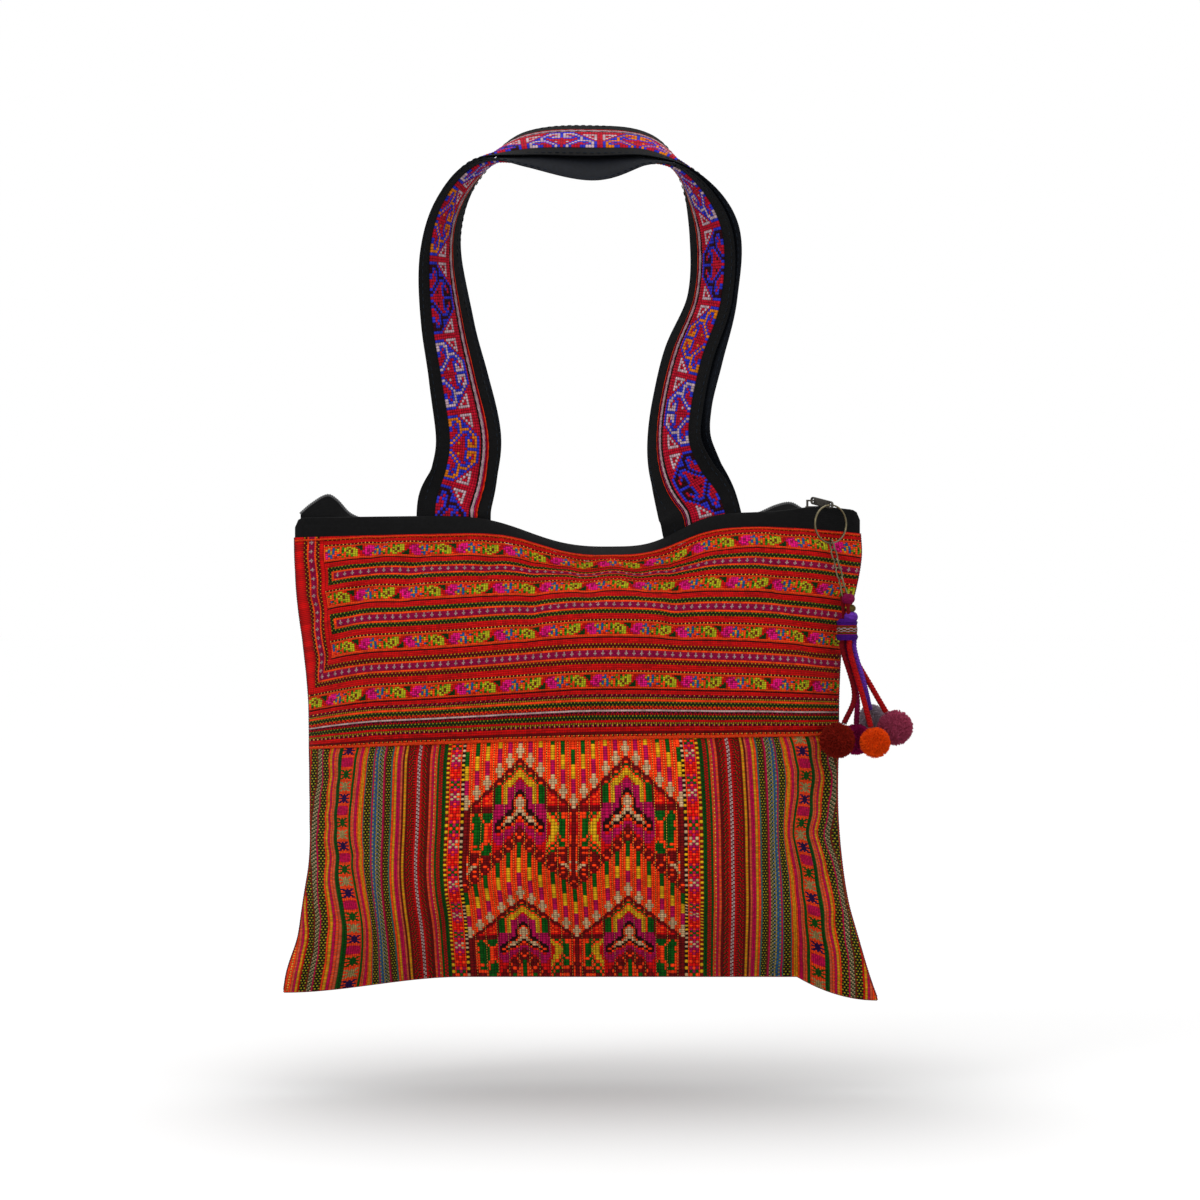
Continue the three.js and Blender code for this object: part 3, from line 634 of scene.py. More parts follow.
# %% [markdown]
# ## How the cloth creases
# Sewn cloth is never as smooth as its form: a little too much of it lies between the seams, and it
# finds its own creases. So one wall is simulated as cloth on a coarse grid. It is pinned along its
# seams, cut a little too large and pressed out from inside, and Blender's Cloth settles it. What
# is kept is how far each point moved, and every fine grid below is moved by it.

# %% Cloth simulation
SIM_COLUMNS, SIM_ROWS, SIM_FRAMES = 80, 62, 24
SIM_QUALITY, BENDING = 8, 0.4
SPARE_CLOTH = 0.022
PRESSURE = 2.5
MOVE_CAP = 4.0
REFINE_TIMES = 2


def wall_grid():
    level = np.linspace(0, 1, SIM_ROWS + 1)[:, None]
    share = np.linspace(0, 1, SIM_COLUMNS + 1)[None, :]
    return form_point(mix(*side_seams(level), share), level + 0 * share, 1)


def seam_points():
    """Numbers of the grid points on the four edges and on the middle seam."""
    number = np.arange((SIM_ROWS + 1) * (SIM_COLUMNS + 1)).reshape(SIM_ROWS + 1, SIM_COLUMNS + 1)
    sewn = np.zeros(number.shape, bool)
    sewn[[0, round(MID_SEAM * SIM_ROWS), -1], :] = True
    sewn[:, [0, -1]] = True
    return number[sewn].tolist()


def settle(points):
    """Let the wall crease between its seams; gives how far each point moved, in millimetres."""
    piece = grid_piece("settling_cloth", points)
    edit(piece, (bpy.ops.mesh.flip_normals, {}))
    piece.vertex_groups.new(name="seams").add(seam_points(), 1.0, "REPLACE")
    bpy.ops.object.modifier_add(type="CLOTH")
    cloth = piece.modifiers[0]
    cloth.settings.vertex_group_mass = "seams"
    cloth.settings.quality = SIM_QUALITY
    cloth.settings.shrink_min = -SPARE_CLOTH
    cloth.settings.bending_stiffness = BENDING
    cloth.settings.use_pressure = True
    cloth.settings.uniform_pressure_force = PRESSURE
    cloth.settings.effector_weights.gravity = 0
    cloth.point_cache.frame_end = SIM_FRAMES
    for step in range(1, SIM_FRAMES + 1):
        bpy.context.scene.frame_set(step)
    bpy.ops.object.modifier_apply(modifier=cloth.name)
    bpy.context.scene.frame_set(1)
    settled = np.zeros(points.size, np.float32)
    piece.data.vertices.foreach_get("co", settled)
    bpy.data.objects.remove(piece)
    moved = settled.reshape(points.shape) / MM - points
    far = np.linalg.norm(moved, axis=-1, keepdims=True)
    return moved * np.minimum(1, MOVE_CAP / np.maximum(far, 1e-6))


def refined(values):
    """Twice as many values along the first axis, on a smooth curve through the old ones."""
    more = np.empty((2 * len(values) - 1,) + values.shape[1:])
    more[::2], more[1::2] = values, (values[:-1] + values[1:]) / 2
    more[2:-1:2] = (values[:-2] + 6 * values[1:-1] + values[2:]) / 8
    return more


# %% Settle the wall
CREASED = settle(wall_grid())
for _ in range(REFINE_TIMES):
    CREASED = refined(refined(CREASED).swapaxes(0, 1)).swapaxes(0, 1)
print("creases up to", round(float(np.linalg.norm(CREASED, axis=-1).max()), 1), "mm, mean",
      round(float(np.linalg.norm(CREASED, axis=-1).mean()), 2), "mm")


def creased(u, level):
    """How far the cloth moved at a place, between the points of the settled grid."""
    rows, columns = CREASED.shape[0] - 1, CREASED.shape[1] - 1
    down, across = np.broadcast_arrays(np.clip(level, 0, 1) * rows, (u + 1) / 2 * columns)
    row, column = np.minimum(down.astype(int), rows - 1), np.minimum(across.astype(int), columns - 1)
    v, h = (down - row)[..., None], (across - column)[..., None]
    upper = mix(CREASED[row, column], CREASED[row, column + 1], h)
    return mix(upper, mix(CREASED[row + 1, column], CREASED[row + 1, column + 1], h), v)


def cloth_point(x, level, side):
    """Outer face of the creased wall, on the front or the back of the bag."""
    u = across_share(x, level)
    moved = creased(u * side, level) * np.array([side, side, 1])
    return form_point(x, level, side) + moved


# %% [markdown]
# ## The embroidery thread's finish
# Cotton and rayon floss is rough but has a soft sheen along the strand. The colour comes from the
# chart, with a slow drift for fading. Each stitch is painted darker towards its edges: dark ground
# between the stitches and painted shade on each round stitch. Bump makes each stitch read as a
# small round bump, and lurex turns metallic.

# %% Embroidery finish
STITCH_RELIEF = 0.35 * MM
FADE_SIZE, SPECK_SIZE = 26 * MM, 0.7 * MM
THREAD_SHINE = 0.08
# How dark each stitch is painted at its edges: dark ground between stitches and painted shade on the round
# stitch.
STITCH_GROUND_AND_SHADE = 0.95


def embroidery_finish(name, relief, gap):
    """Thread in round stitches; gap is how dark each stitch is painted towards its edges: dark ground between
    stitches and painted shade.
    """
    finish = Finish(name)
    finish.set("Specular IOR Level", THREAD_SHINE)
    lurex = 1 - finish.thread("Alpha")
    drift = finish.noise(finish.place(), FADE_SIZE)
    speck = finish.noise(finish.place(), SPECK_SIZE, 1.0)
    from_side, from_end = finish.off_middle(0), finish.off_middle(1)
    # bead is 1 in a stitch's middle and 0 at its corners; darkening the colour by it paints shade on the
    # round stitch and the ground between stitches.
    bead = 1 - 0.5 * (from_side * from_side + from_end * from_end)
    fading = 0.75 + 0.25 * drift + 0.4 * speck
    finish.set("Base Color", finish.shade(finish.thread(), fading * (1 - gap + gap * bead)))
    finish.set("Metallic", lurex)
    finish.set("Roughness", 0.85 - 0.5 * lurex)
    finish.ridges(bead + 0.4 * speck, relief)
    return finish


embroidery = embroidery_finish("embroidery", STITCH_RELIEF, STITCH_GROUND_AND_SHADE)
print("finish:", embroidery.material.name)

# %% [markdown]
# ## The upper panel's bands
# The upper half is a sampler of braids and ribbons sewn side by side: four ribbons of little
# flowers on orange, three magenta braids with pale crosses, and between them cords, zigzags and
# plain red. Each row of a table is one band: its height in millimetres, its chart, the width of
# one stitch and how far it stands up. The charts are short, and repeat along the band.

# %% Charts of the bands
Band = namedtuple("Band", "height chart stitch lift")
FLOWERS = [
    "oloaaordddropppoboro", "olaanaarddrppppbboob", "ogananaardrpmppoyboo",
    "oloaanaarrppmpmbyboy", "goolaaaarrmppmybobly", "ologolaaorrmmpoyobog",
]
FLOWER_RIBBON = [row + turned for row, turned in zip(FLOWERS, FLOWERS[::-1])]
CROSSES = ["mmmWmmm", "mmmWmmm", "mmWWWmm", "mmmWmmm", "mmmmmmm"]
GREEN_ZIGZAG = ["Yddd", "kdkd", "dkYd"]
RED_ZIGZAG = ["yRRR", "kRkR", "RkyR"]
FLOWER_STITCH, CROSS_STITCH, FINE_STITCH, PLAIN_STITCH, MIXED_STITCH = 1.49, 0.73, 0.6, 1.1, 0.8
FLOWER_HEIGHT = 6.9
FLOWER_STARTS = (6, 2, 3, -2)           # stitches by which each ribbon's flowers are moved along


def cord_band(height):
    return Band(height, ["o", "o"], PLAIN_STITCH, 0.6)


def gold_band(height):
    return Band(height, ["GRkR"], FINE_STITCH, 0.25)


def plain_band(height, letters):
    """A band of one thread for each of its rows: red lies lower than orange."""
    return Band(height, list(letters), PLAIN_STITCH, 0.3 if letters == "o" else 0.2)


def zigzag_band(height, chart):
    return Band(height, chart, FINE_STITCH, 0.4)


def mixed_band(height, chart, lift):
    return Band(height, chart, MIXED_STITCH, lift)


def flower_band(start):
    """A ribbon of flowers, with its chart moved some stitches along."""
    chart = [row[-start:] + row[:-start] for row in FLOWER_RIBBON]
    return Band(FLOWER_HEIGHT, chart, FLOWER_STITCH, 0.3)


def magenta_group(scale, zigzag):
    """A magenta braid in its frame of orange, zigzag and red, between two orange cords."""
    return [
        # The near-black row just under the top cord is a painted shadow of the cord.
        cord_band(1.6 * scale), Band(0.7 * scale, ["k"], PLAIN_STITCH, 0.0),
        plain_band(3.2 * scale, "rrr"), zigzag_band(2.8 * scale, zigzag), plain_band(1.3 * scale, "o"),
        Band(3.8 * scale, CROSSES, CROSS_STITCH, 0.4), plain_band(1.3 * scale, "o"),
        zigzag_band(2.6 * scale, zigzag), plain_band(3.8 * scale, "rrr"), gold_band(1.0 * scale),
        cord_band(1.3 * scale),
    ]


FRAME_FIRST, FRAME_LAST = 2, 8          # the bands of a magenta group that turn a corner
TOP_BANDS = [
    Band(1.1, ["r"], PLAIN_STITCH, 0.3), Band(0.95, ["kkky"], 0.7, 0.2), plain_band(2.4, "rrr"),
    gold_band(0.9), cord_band(1.2),
]
BOTTOM_BANDS = [
    # The dark row just under the first cord is a painted shadow of the cord.
    cord_band(1.1), mixed_band(0.8, ["Rk"], 0.0), plain_band(2.3, "rr"),
    mixed_band(1.7, ["mRkG", "RkmR"], 0.1), mixed_band(0.9, ["Yn"], 0.3),
    Band(1.45, ["o"], PLAIN_STITCH, 0.2), zigzag_band(2.45, GREEN_ZIGZAG),
    mixed_band(2.0, ["orRo", "Rorr"], 0.1), Band(1.1, ["W"], PLAIN_STITCH, 0.6),
    mixed_band(2.0, ["mRkR", "RrRr"], 0.1), zigzag_band(2.55, GREEN_ZIGZAG), plain_band(1.45, "r"),
    mixed_band(0.9, ["Yn"], 0.3), mixed_band(1.35, ["GRkm"], 0.2), plain_band(2.75, "rr"),
    Band(1.5, ["R"], PLAIN_STITCH, 0.0), mixed_band(1.0, ["GRoo"], 0.2), cord_band(1.2),
]
GROUPS = [
    magenta_group(0.872, GREEN_ZIGZAG), magenta_group(1.004, GREEN_ZIGZAG), magenta_group(1.004, RED_ZIGZAG),
]
# The strip that runs up the left side seam, from its inner edge outwards.
STRIP = [
    plain_band(3.0, "r"), zigzag_band(2.0, RED_ZIGZAG), plain_band(1.2, "o"),
    Band(3.4, CROSSES, CROSS_STITCH, 0.4),
    plain_band(1.2, "o"), zigzag_band(2.0, RED_ZIGZAG), plain_band(3.0, "r"),
]
STRIP_WIDTH = sum(band.height for band in STRIP)
FRAME = [plain_band(1.9, "r"), zigzag_band(2.2, GREEN_ZIGZAG), plain_band(1.9, "o")]
FLOWER_EDGE = plain_band(1.2, "o")
PANEL_WIDTH = 358.5
STRIP_SHIFT, STRIP_OUTER = 3.3, 3.0     # the panel is cut askew, so its left edge is wider at the top
SHIFT_FROM, SHIFT_FADE = 0.55, 0.25     # where down the panel this begins to fade, and over what share
print("strip:", round(STRIP_WIDTH, 1), "mm wide")

# %% [markdown]
# A patch is one band's place on the panel: from where to where it runs down and across. The bands
# beside the strip start at its inner edge. In the third group they turn the corner into it, so
# each band there starts further out than the one above, and the strip's bands end on them.

# %% Patches of the upper panel
Patch = namedtuple("Patch", "top bottom start end band upright")


def frame_patches(tops, heights, start, bands):
    """Short upright bands that close the left end of a magenta braid."""
    made = []
    for step, band in enumerate(bands):
        first, last = FRAME_FIRST + step, FRAME_LAST - step
        made.append(Patch(tops[first], tops[last] + heights[last], start, start + band.height, band, True))
        start += band.height
    return made


def upper_patches():
    patches, top = [], 0.0

    def lay(band, start):
        nonlocal top
        patches.append(Patch(top, top + band.height, start, PANEL_WIDTH, band, False))
        top += band.height

    for band in TOP_BANDS:
        lay(band, STRIP_WIDTH)
    outer_edges = STRIP_WIDTH - np.cumsum([band.height for band in STRIP])
    frame_starts = STRIP_WIDTH + np.concatenate([[0], np.cumsum([band.height for band in FRAME])])
    ribbon_start = STRIP_WIDTH + FLOWER_EDGE.height
    for number, group in enumerate(GROUPS):
        turns_corner = number == len(GROUPS) - 1
        patches.append(Patch(top, top + FLOWER_HEIGHT, STRIP_WIDTH, ribbon_start, FLOWER_EDGE, True))
        lay(flower_band(FLOWER_STARTS[number]), ribbon_start)
        heights = [band.height for band in group]
        tops = top + np.concatenate([[0], np.cumsum(heights)])
        if not turns_corner:
            patches += frame_patches(tops, heights, STRIP_WIDTH, FRAME)
        for place, band in enumerate(group):
            inside = place - FRAME_FIRST
            if not FRAME_FIRST <= place <= FRAME_LAST:
                start = 0.0 if turns_corner and place > FRAME_LAST else STRIP_WIDTH
            elif turns_corner:
                start = outer_edges[inside]
            else:
                start = frame_starts[min(inside, FRAME_LAST - place)]
            lay(band, start)
        if turns_corner:
            for inside, band in enumerate(STRIP):
                start = outer_edges[inside]
                patches.append(Patch(0.0, tops[FRAME_FIRST + inside], start, start + band.height, band, True))
    lay(flower_band(FLOWER_STARTS[-1]), 0.0)
    for band in BOTTOM_BANDS:
        lay(band, 0.0)
    return patches, top


patches, PANEL_HEIGHT = upper_patches()
print("patches:", len(patches), "panel height:", round(PANEL_HEIGHT, 1), "mm")

# %% Upper panels
STITCH_RISE = 0.22 * MM
PLAIN_RUN = 3               # stitches of one colour that share a face


def tiled(chart, rows, columns):
    """A chart repeated over so many rows and columns."""
    cells = np.array([list(row) for row in chart])
    return cells[np.arange(rows) % cells.shape[0]][:, np.arange(columns) % cells.shape[1]]


def lifted(count, lift):
    """Height of the lines between stitches across a band: low at its edges."""
    heights = np.full(count + 1, lift)
    heights[[0, -1]] = 0.0 if count > 1 else 0.5 * lift
    return heights


def lay_patch(patch, side, coarse):
    """Cloth of one band, on the front or the back of the bag."""
    band = patch.band
    plain = all(len(row) == 1 for row in band.chart)
    run = band.stitch * (PLAIN_RUN if plain else coarse)
    long = patch.bottom - patch.top if patch.upright else patch.end - patch.start
    count = len(band.chart)
    steps = max(round(long / run), 2)
    letters = tiled(band.chart, count, steps)
    lift = lifted(count, band.lift)[:, None] + np.zeros((1, steps + 1))
    across, down = np.arange(steps + 1) * run / band.stitch, np.arange(count + 1)
    if patch.upright:
        letters, lift, across, down = letters.T, lift.T, down, across
    rows, columns = letters.shape
    level = (np.linspace(patch.top, patch.bottom, rows + 1) / PANEL_HEIGHT * MID_SEAM)[:, None]
    flat = np.linspace(patch.start, patch.end, columns + 1)[None, :]
    shift = STRIP_SHIFT * (1 - smooth((level / MID_SEAM - SHIFT_FROM) / SHIFT_FADE))
    flat = flat + shift * np.minimum(flat / STRIP_OUTER, 1) * (1 - flat / PANEL_WIDTH)
    points = cloth_point(mix(*side_seams(level), flat / PANEL_WIDTH), level, side)
    piece = grid_piece("band", points + outward(points, side) * lift[..., None])
    give_flat(piece, across[None, :], down[:, None])
    give_thread(piece, thread_colours(letters))
    if side > 0:
        edit(piece, (bpy.ops.mesh.flip_normals, {}))
    if not plain and band.stitch > FINE_STITCH and coarse == 1:
        edit(piece, (bpy.ops.mesh.poke, {"offset": STITCH_RISE}))
    return piece


def join(pieces, name):
    """Make one piece of several."""
    bpy.ops.object.select_all(action="DESELECT")
    for piece in pieces:
        piece.select_set(True)
    bpy.context.view_layer.objects.active = pieces[0]
    bpy.ops.object.join()
    pieces[0].name = name
    pieces[0].data.name = name
    return pieces[0]


for side, word in SIDES:
    coarse = 1 if side > 0 else 2
    piece = join([lay_patch(patch, side, coarse) for patch in patches], f"{word}_upper_embroidery")
    finish_piece(piece, "bag", "embroidered_cloth", embroidery, f"{word}_upper_panel")

# %% [markdown]
# The lower panels are whole cloths. Their stitches are raised all at once, and the loose edge of
# each cloth is turned in as a hem, so that no gap shows where two of them meet.

# %% Hems
HEM = 1.6


def embroider(piece, side, rise):
    """Raise the stitches, turn the hem in and point the faces outwards."""
    steps = [(bpy.ops.mesh.poke, {"offset": -rise if side > 0 else rise})]
    if side > 0:
        steps.append((bpy.ops.mesh.flip_normals, {}))
    steps += [
        (bpy.ops.mesh.select_all, {"action": "DESELECT"}),
        (bpy.ops.mesh.select_non_manifold, {"extend": False}),
        (bpy.ops.mesh.extrude_region_move, {"TRANSFORM_OT_translate": {"value": (0, side * HEM * MM, 0)}}),
    ]
    edit(piece, *steps)


# %% [markdown]
# ## The lower panel's striped sides
# The sides of the lower half are woven stripes. Each row of the table is one stripe, from the
# centre panel outwards: its width and its chart, whose rows repeat down the cloth. The outermost
# stripes only come into sight where the bag flares into its lower ears, so their columns are
# squeezed into the side seam everywhere else.

# %% Stripes
Stripe = namedtuple("Stripe", "width chart")
STAR = ["xxoxoxx", "oxxxxxo", "ooxxxoo", "xxxxxxx", "ooxxxoo", "oxxxxxo", "xxoxoxx", "ooooooo", "ooooooo"]
BLOCK = ["rMMMMMr"] + ["MMMMMMM"] * 5 + ["rMMMMMr", "ooooooo", "ooooooo"]
STAR_ROWS = {letter: [row.replace("x", letter) for row in STAR] for letter in "vgc"}
STARS = STAR_ROWS["v"] + BLOCK + STAR_ROWS["g"] + STAR_ROWS["c"]
SPECKLE = ["grRr", "RrRg", "rgRr", "RRrR"]
DARK_DOTS = ["YkYn", "kdkd", "nYkY", "dkdk"]
STRIPES = [Stripe(*row) for row in [
    (2.3, ["gg", "gd"]), (2.3, ["nr", "rn"]), (1.3, ["g"]), (1.9, ["oG", "so", "os"]), (1.3, ["M"]),
    (1.6, ["s", "o"]), (1.6, ["R"]), (2.9, SPECKLE), (1.3, ["r"]), (2.0, ["WR", "RW", "WW"]),
    (2.4, ["rR", "rr"]), (3.0, SPECKLE[::-1]), (1.3, ["R"]), (1.6, ["y", "O"]), (1.0, ["R"]),
    (1.3, ["s"]), (2.3, ["MM"]), (1.6, ["y", "O"]), (1.3, ["o"]), (1.0, ["t"]), (3.0, DARK_DOTS),
    (0.8, ["n"]), (1.0, ["M"]), (3.4, ["cdce", "dcbc", "cedc"]), (2.0, ["bc", "tb", "be"]),
    (0.8, ["M"]), (0.5, ["t"]), (3.2, DARK_DOTS[::-1]), (0.5, ["t"]), (0.8, ["o"]),
    (2.5, ["yOo", "Oyo"]), (1.5, ["M"]), (2.0, ["ss", "so"]), (1.5, ["g"]), (0.6, ["o"]), (7.8, STARS),
    (2.4, ["gg", "dg"]), (2.8, ["ss", "so"]), (1.4, ["M"]), (1.6, ["y", "O"]), (1.0, ["o"]),
    (4.2, DARK_DOTS), (0.9, ["M"]), (3.0, ["ewd", "dew", "wde"]), (0.9, ["n"]), (4.0, DARK_DOTS[::-1]),
    (1.0, ["r"]), (1.7, ["y", "O"]), (1.4, ["M"]), (1.6, ["s"]), (2.4, ["oG", "oo"]),
    (10.0, ["ooooooo"]),
]]
# Where the striped sides meet the centre panel, at shares of the way down.
Edge = namedtuple("Edge", "down left right")
CENTRE_EDGES = [Edge(*row) for row in [
    (0.0, -82.1, 72.3), (0.32, -83.6, 75.2), (0.54, -85.0, 76.0), (0.76, -82.6, 76.9),
    (1.0, -81.5, 77.6),
]]
# How far the outer stripes sway away from the centre.
Sway = namedtuple("Sway", "down out")
SWAYS = {hand: [Sway(*row) for row in rows] for hand, rows in {
    -1: [
        (0.0, 0.5), (0.11, 1.2), (0.22, 3.4), (0.33, 4.4), (0.42, 3.6), (0.52, 0.4), (0.63, -2.8),
        (0.72, -3.8), (0.80, -3.0), (0.89, -0.4), (1.0, 3.5),
    ],
    1: [
        (0.0, -1.2), (0.08, -0.2), (0.16, 2.0), (0.23, 1.2), (0.3, -1.6), (0.38, -3.6), (0.45, -2.4),
        (0.56, 1.6), (0.67, 3.2), (0.75, 4.4), (0.86, 7.6), (1.0, 8.0),
    ],
}.items()}
SWAY_FROM, SWAY_FULL = 38.0, 62.0
EAR = {-1: 6.8, 1: 1.5}           # the outermost stripes spread into the ears
EAR_DOWN, EAR_DOWN_OVER = 0.3, 0.55     # from where down the panel, and over what share of it
EAR_OUT, EAR_OUT_OVER = 60, 20          # from how far out, and over how many millimetres
FAN = {-1: 0.98, 1: 1.03}         # width of the stripes on each hand
FIRST_ROW = {-1: 0, 1: 27}        # where the star stripe's chart starts
SQUEEZE = 0.02                    # width left to a column that is tucked into the side seam
SIDE_ROWS = 186
STRIPE_RISE = 0.6 * STITCH_RISE
print("stripes:", len(STRIPES), "star stripe:", len(STARS), "rows")

# %% Where the stripes run


def centre_edge(level, hand):
    """Seam between the centre panel and a striped side; hand is -1 on the left and 1 on the right."""
    down = (level - MID_SEAM) / (1 - MID_SEAM)
    return curve(CENTRE_EDGES, "down", "left" if hand < 0 else "right", down)


def stripe_lines():
    """Distance of each column's edges from the centre panel, and each column's chart letters."""
    edges, charts = [0.0], []
    for stripe in STRIPES:
        count = len(stripe.chart[0])
        for column in range(count):
            edges.append(edges[-1] + stripe.width / count)
            charts.append([row[column] for row in stripe.chart])
    return np.array(edges), charts


def stripe_places(edges, level, hand):
    """Where the stripes' lines run across the bag."""
    down = (level - MID_SEAM) / (1 - MID_SEAM)
    sway = curve(SWAYS[hand], "down", "out", down) * smooth((edges - SWAY_FROM) / (SWAY_FULL - SWAY_FROM))
    ear = EAR[hand] * smooth((down - EAR_DOWN) / EAR_DOWN_OVER) * smooth((edges - EAR_OUT) / EAR_OUT_OVER)
    x = centre_edge(level, hand) + hand * (edges * FAN[hand] + sway + ear)
    left, right = side_seams(level)
    tucked = SQUEEZE * np.arange(len(edges))[::-1]
    if hand < 0:
        return np.maximum(x, left + tucked)
    return np.minimum(x, right - tucked)


# %% Striped sides


def stripe_letters(charts, rows, first=0):
    """Letters of so many rows, with a column for each chart."""
    return np.array([[chart[(row + first) % len(chart)] for chart in charts] for row in range(rows)])


def striped_side(name, side, hand, rows):
    edges, charts = stripe_lines()
    level = np.linspace(MID_SEAM, 1, rows + 1)[:, None]
    x = stripe_places(edges, level, hand)[:, ::hand]
    letters = stripe_letters(charts, rows, FIRST_ROW[hand])[:, ::hand]
    piece = stitched_grid(name, cloth_point(x, level, side), letters)
    embroider(piece, side, STRIPE_RISE)
    return piece


def lay_sides(word, side, rows):
    """Both striped sides of the bag's front or back."""
    for hand, hand_word in HANDS:
        piece = striped_side(f"{word}_stripes_{hand_word}", side, hand, rows)
        finish_piece(piece, "bag", "striped_cloth", embroidery, f"{word}_lower_panel")


lay_sides("front", 1, SIDE_ROWS)

# %% [markdown]
# ## The centre panel
# Between the stripes lies a cross-stitched cloth: a field of two by two bell shapes under stepped
# roofs, with bars of colour between them, and a column of flowers on each side. Half a bell is
# charted below, from its middle outwards; its other half is the mirror image. A dot in the chart
# leaves the place to the bars, whose green, yellow, magenta and white follow the roof's steps.

# %% Chart of the bells
HALF_BELL = 21
BOX_ROW, BOX_COLUMN = 22, 11
# A row may stop at its last thread, and # is a row of one of the boxes below.
BELL = [row.replace("#", "#" * BOX_COLUMN).ljust(HALF_BELL + 1, ".") for row in """
    R RR oRR gRRR ogoRR yogRRR yyogoRR yyyogRRR ryyyogoRR mryyyogRRR mmryyyogoRR mmmryyyogRRR
    mmmmmyyoggRRR kmmmmyyoggRrRR kkmmmyyoggRorRR okkmmyyoggRrorRR wokmmyyoggRororRR wwokmyyoggRrorroRR
    wwokmyyoggRooorroRR wwokmmmmmmRrrrrrrrRR wokkmmmmmmRRRRRRRRRRR wwokkmmmmmmRRRRRRRRRRR kwwokkmmmmm#
    okkwwokkmmm# rokkwwokkmm# mmrokkwokkm# *mmmrokkokm# **mmmmrokkm# ***rmmmmrmm# ****rmmmmmm#
    *****rmmmmr# .*****rmmrr# ..*****rrrr# ...*****rrr# ....*****rr# .....*****r# ......*****RRRRRRRRRoR
    .......*****RRoooRRRoR ........*****RoRoRRRoR .........*****RRooRRwR ..........*****RRwwRoR
    ...........*****RRwwoR ............*****oRwoR .............*****RRwR ..............*****RoR
    ...............*****oR ................*****R .................***** ..................****
    ...................*** ....................** .....................* . . .
""".split()]
OUTER_BOX = [
    "ggggoogooRR", "ggggogggoRR", "oggoggggoRR", "rooggggooRR", "rroggggooRR", "rrogggggoRR", "rroggggooRR",
    "rroggggooRR", "rooggggooRR", "ogoogggooRR", "gggoogoooRR", "gggogggooRR", "ggggooooRRR", "ogggoRRRRRR",
]
INNER_BOX = [
    "yogoggooroR", "yyogogoorrR", "ryyogggoroR", "rryyoggorrR", "rryyyggorrR", "rryyyggorrR", "rryyoggorrR",
    "ryyogogoroR", "ryyoggooroR", "yyogoggoroR", "yogooggooRR", "ogogoooRRoR", "gogRRRRRRoR", "ogRooooRRoR",
]
FLOWER_COLUMN = [
    "gmg", "ogo", "gmg", "mom", "rmr", "wmw", "mwo", "wmw",
    "mmm", "mom", "rmr", "ror", "rrr", "oro", "rrr", "mom",
]
OUTER_DASHES = "yR"
INNER_DASHES = "kwkwkwkwkykykyky"
BAR_COLUMNS = (0, 4, 8, 13, 17, 21)
BARS = [(31, 37, "g"), (37, 43, "y"), (43, 49, "m"), (49, 55, "w")]
CROSS_ARM = (51, 52)
FIRST_ROOF = 7
CENTRE_ROWS = 98
# The centre cloth's colours are made lighter: a painted sheen.
CENTRE_PAINTED_SHEEN = 1.34
CENTRE_RISE = 1.3 * STITCH_RISE
# The cloth curves away below, so its lower rows look closer together: row, share of the way down.
Step = namedtuple("Step", "row down")
ROW_STEPS = [Step(*row) for row in [
    (0, 0.0), (7, 0.073), (27.5, 0.276), (38, 0.417), (62, 0.670), (82.5, 0.837), (93, 0.940),
    (98, 1.0),
]]
CHECK_STEPS = (27, 29)
print("bell:", len(BELL), "rows, field:", 4 * HALF_BELL + 1, "columns")

# %% From the chart to its stitches


def field_letter(column, row):
    """Thread of one stitch of the bells' field."""
    middle = HALF_BELL if column <= 2 * HALF_BELL else 3 * HALF_BELL
    away = abs(column - middle)
    inner = (column > middle) == (middle == HALF_BELL)
    down = (row - FIRST_ROOF) % len(BELL)
    letter = BELL[down][away] if row >= FIRST_ROOF else "."
    if letter == "#":
        box = INNER_BOX if inner else OUTER_BOX
        letter = box[down - BOX_ROW][away - BOX_COLUMN]
    if letter == "*":
        step = down - away
        letter = "o" if step in CHECK_STEPS and (away + step // 2) % 2 == 0 else "R"
    return bar_letter(away, down) if letter == "." else letter


def bar_letter(away, down):
    """Bars of colour that follow the roof's steps."""
    bar = min(BAR_COLUMNS, key=lambda column: abs(column - away))
    step = (down - bar) % len(BELL)
    if away == bar:
        for first, end, letter in BARS:
            if first <= step < end:
                return letter
    if abs(away - bar) == 1 and CROSS_ARM[0] <= step <= CROSS_ARM[1]:
        return "w"
    return "o"


def centre_letters():
    rows = []
    for row in range(CENTRE_ROWS):
        field = [field_letter(column, row) for column in range(4 * HALF_BELL + 1)]
        outer = OUTER_DASHES[row % len(OUTER_DASHES)]
        inner = INNER_DASHES[row % len(INNER_DASHES)]
        edge = [outer, "o"] + list(FLOWER_COLUMN[row % len(FLOWER_COLUMN)]) + ["o", inner]
        rows.append(edge + field + edge[::-1])
    letters = np.array(rows)
    return np.where(letters == "o", "f", letters)


# %% Centre cloth
EDGE_WIDTHS = [1.3, 0.5, 1.25, 1.25, 1.25, 0.5, 1.3]
BAR_WIDTH, BETWEEN_WIDTH = 1.65, 0.8


def column_widths():
    """The bars' own columns are wider than the orange between them."""
    field = []
    for column in range(4 * HALF_BELL + 1):
        away = abs(column % (2 * HALF_BELL) - HALF_BELL)
        field.append(BAR_WIDTH if away in BAR_COLUMNS else BETWEEN_WIDTH)
    return np.array(EDGE_WIDTHS + field + EDGE_WIDTHS[::-1])


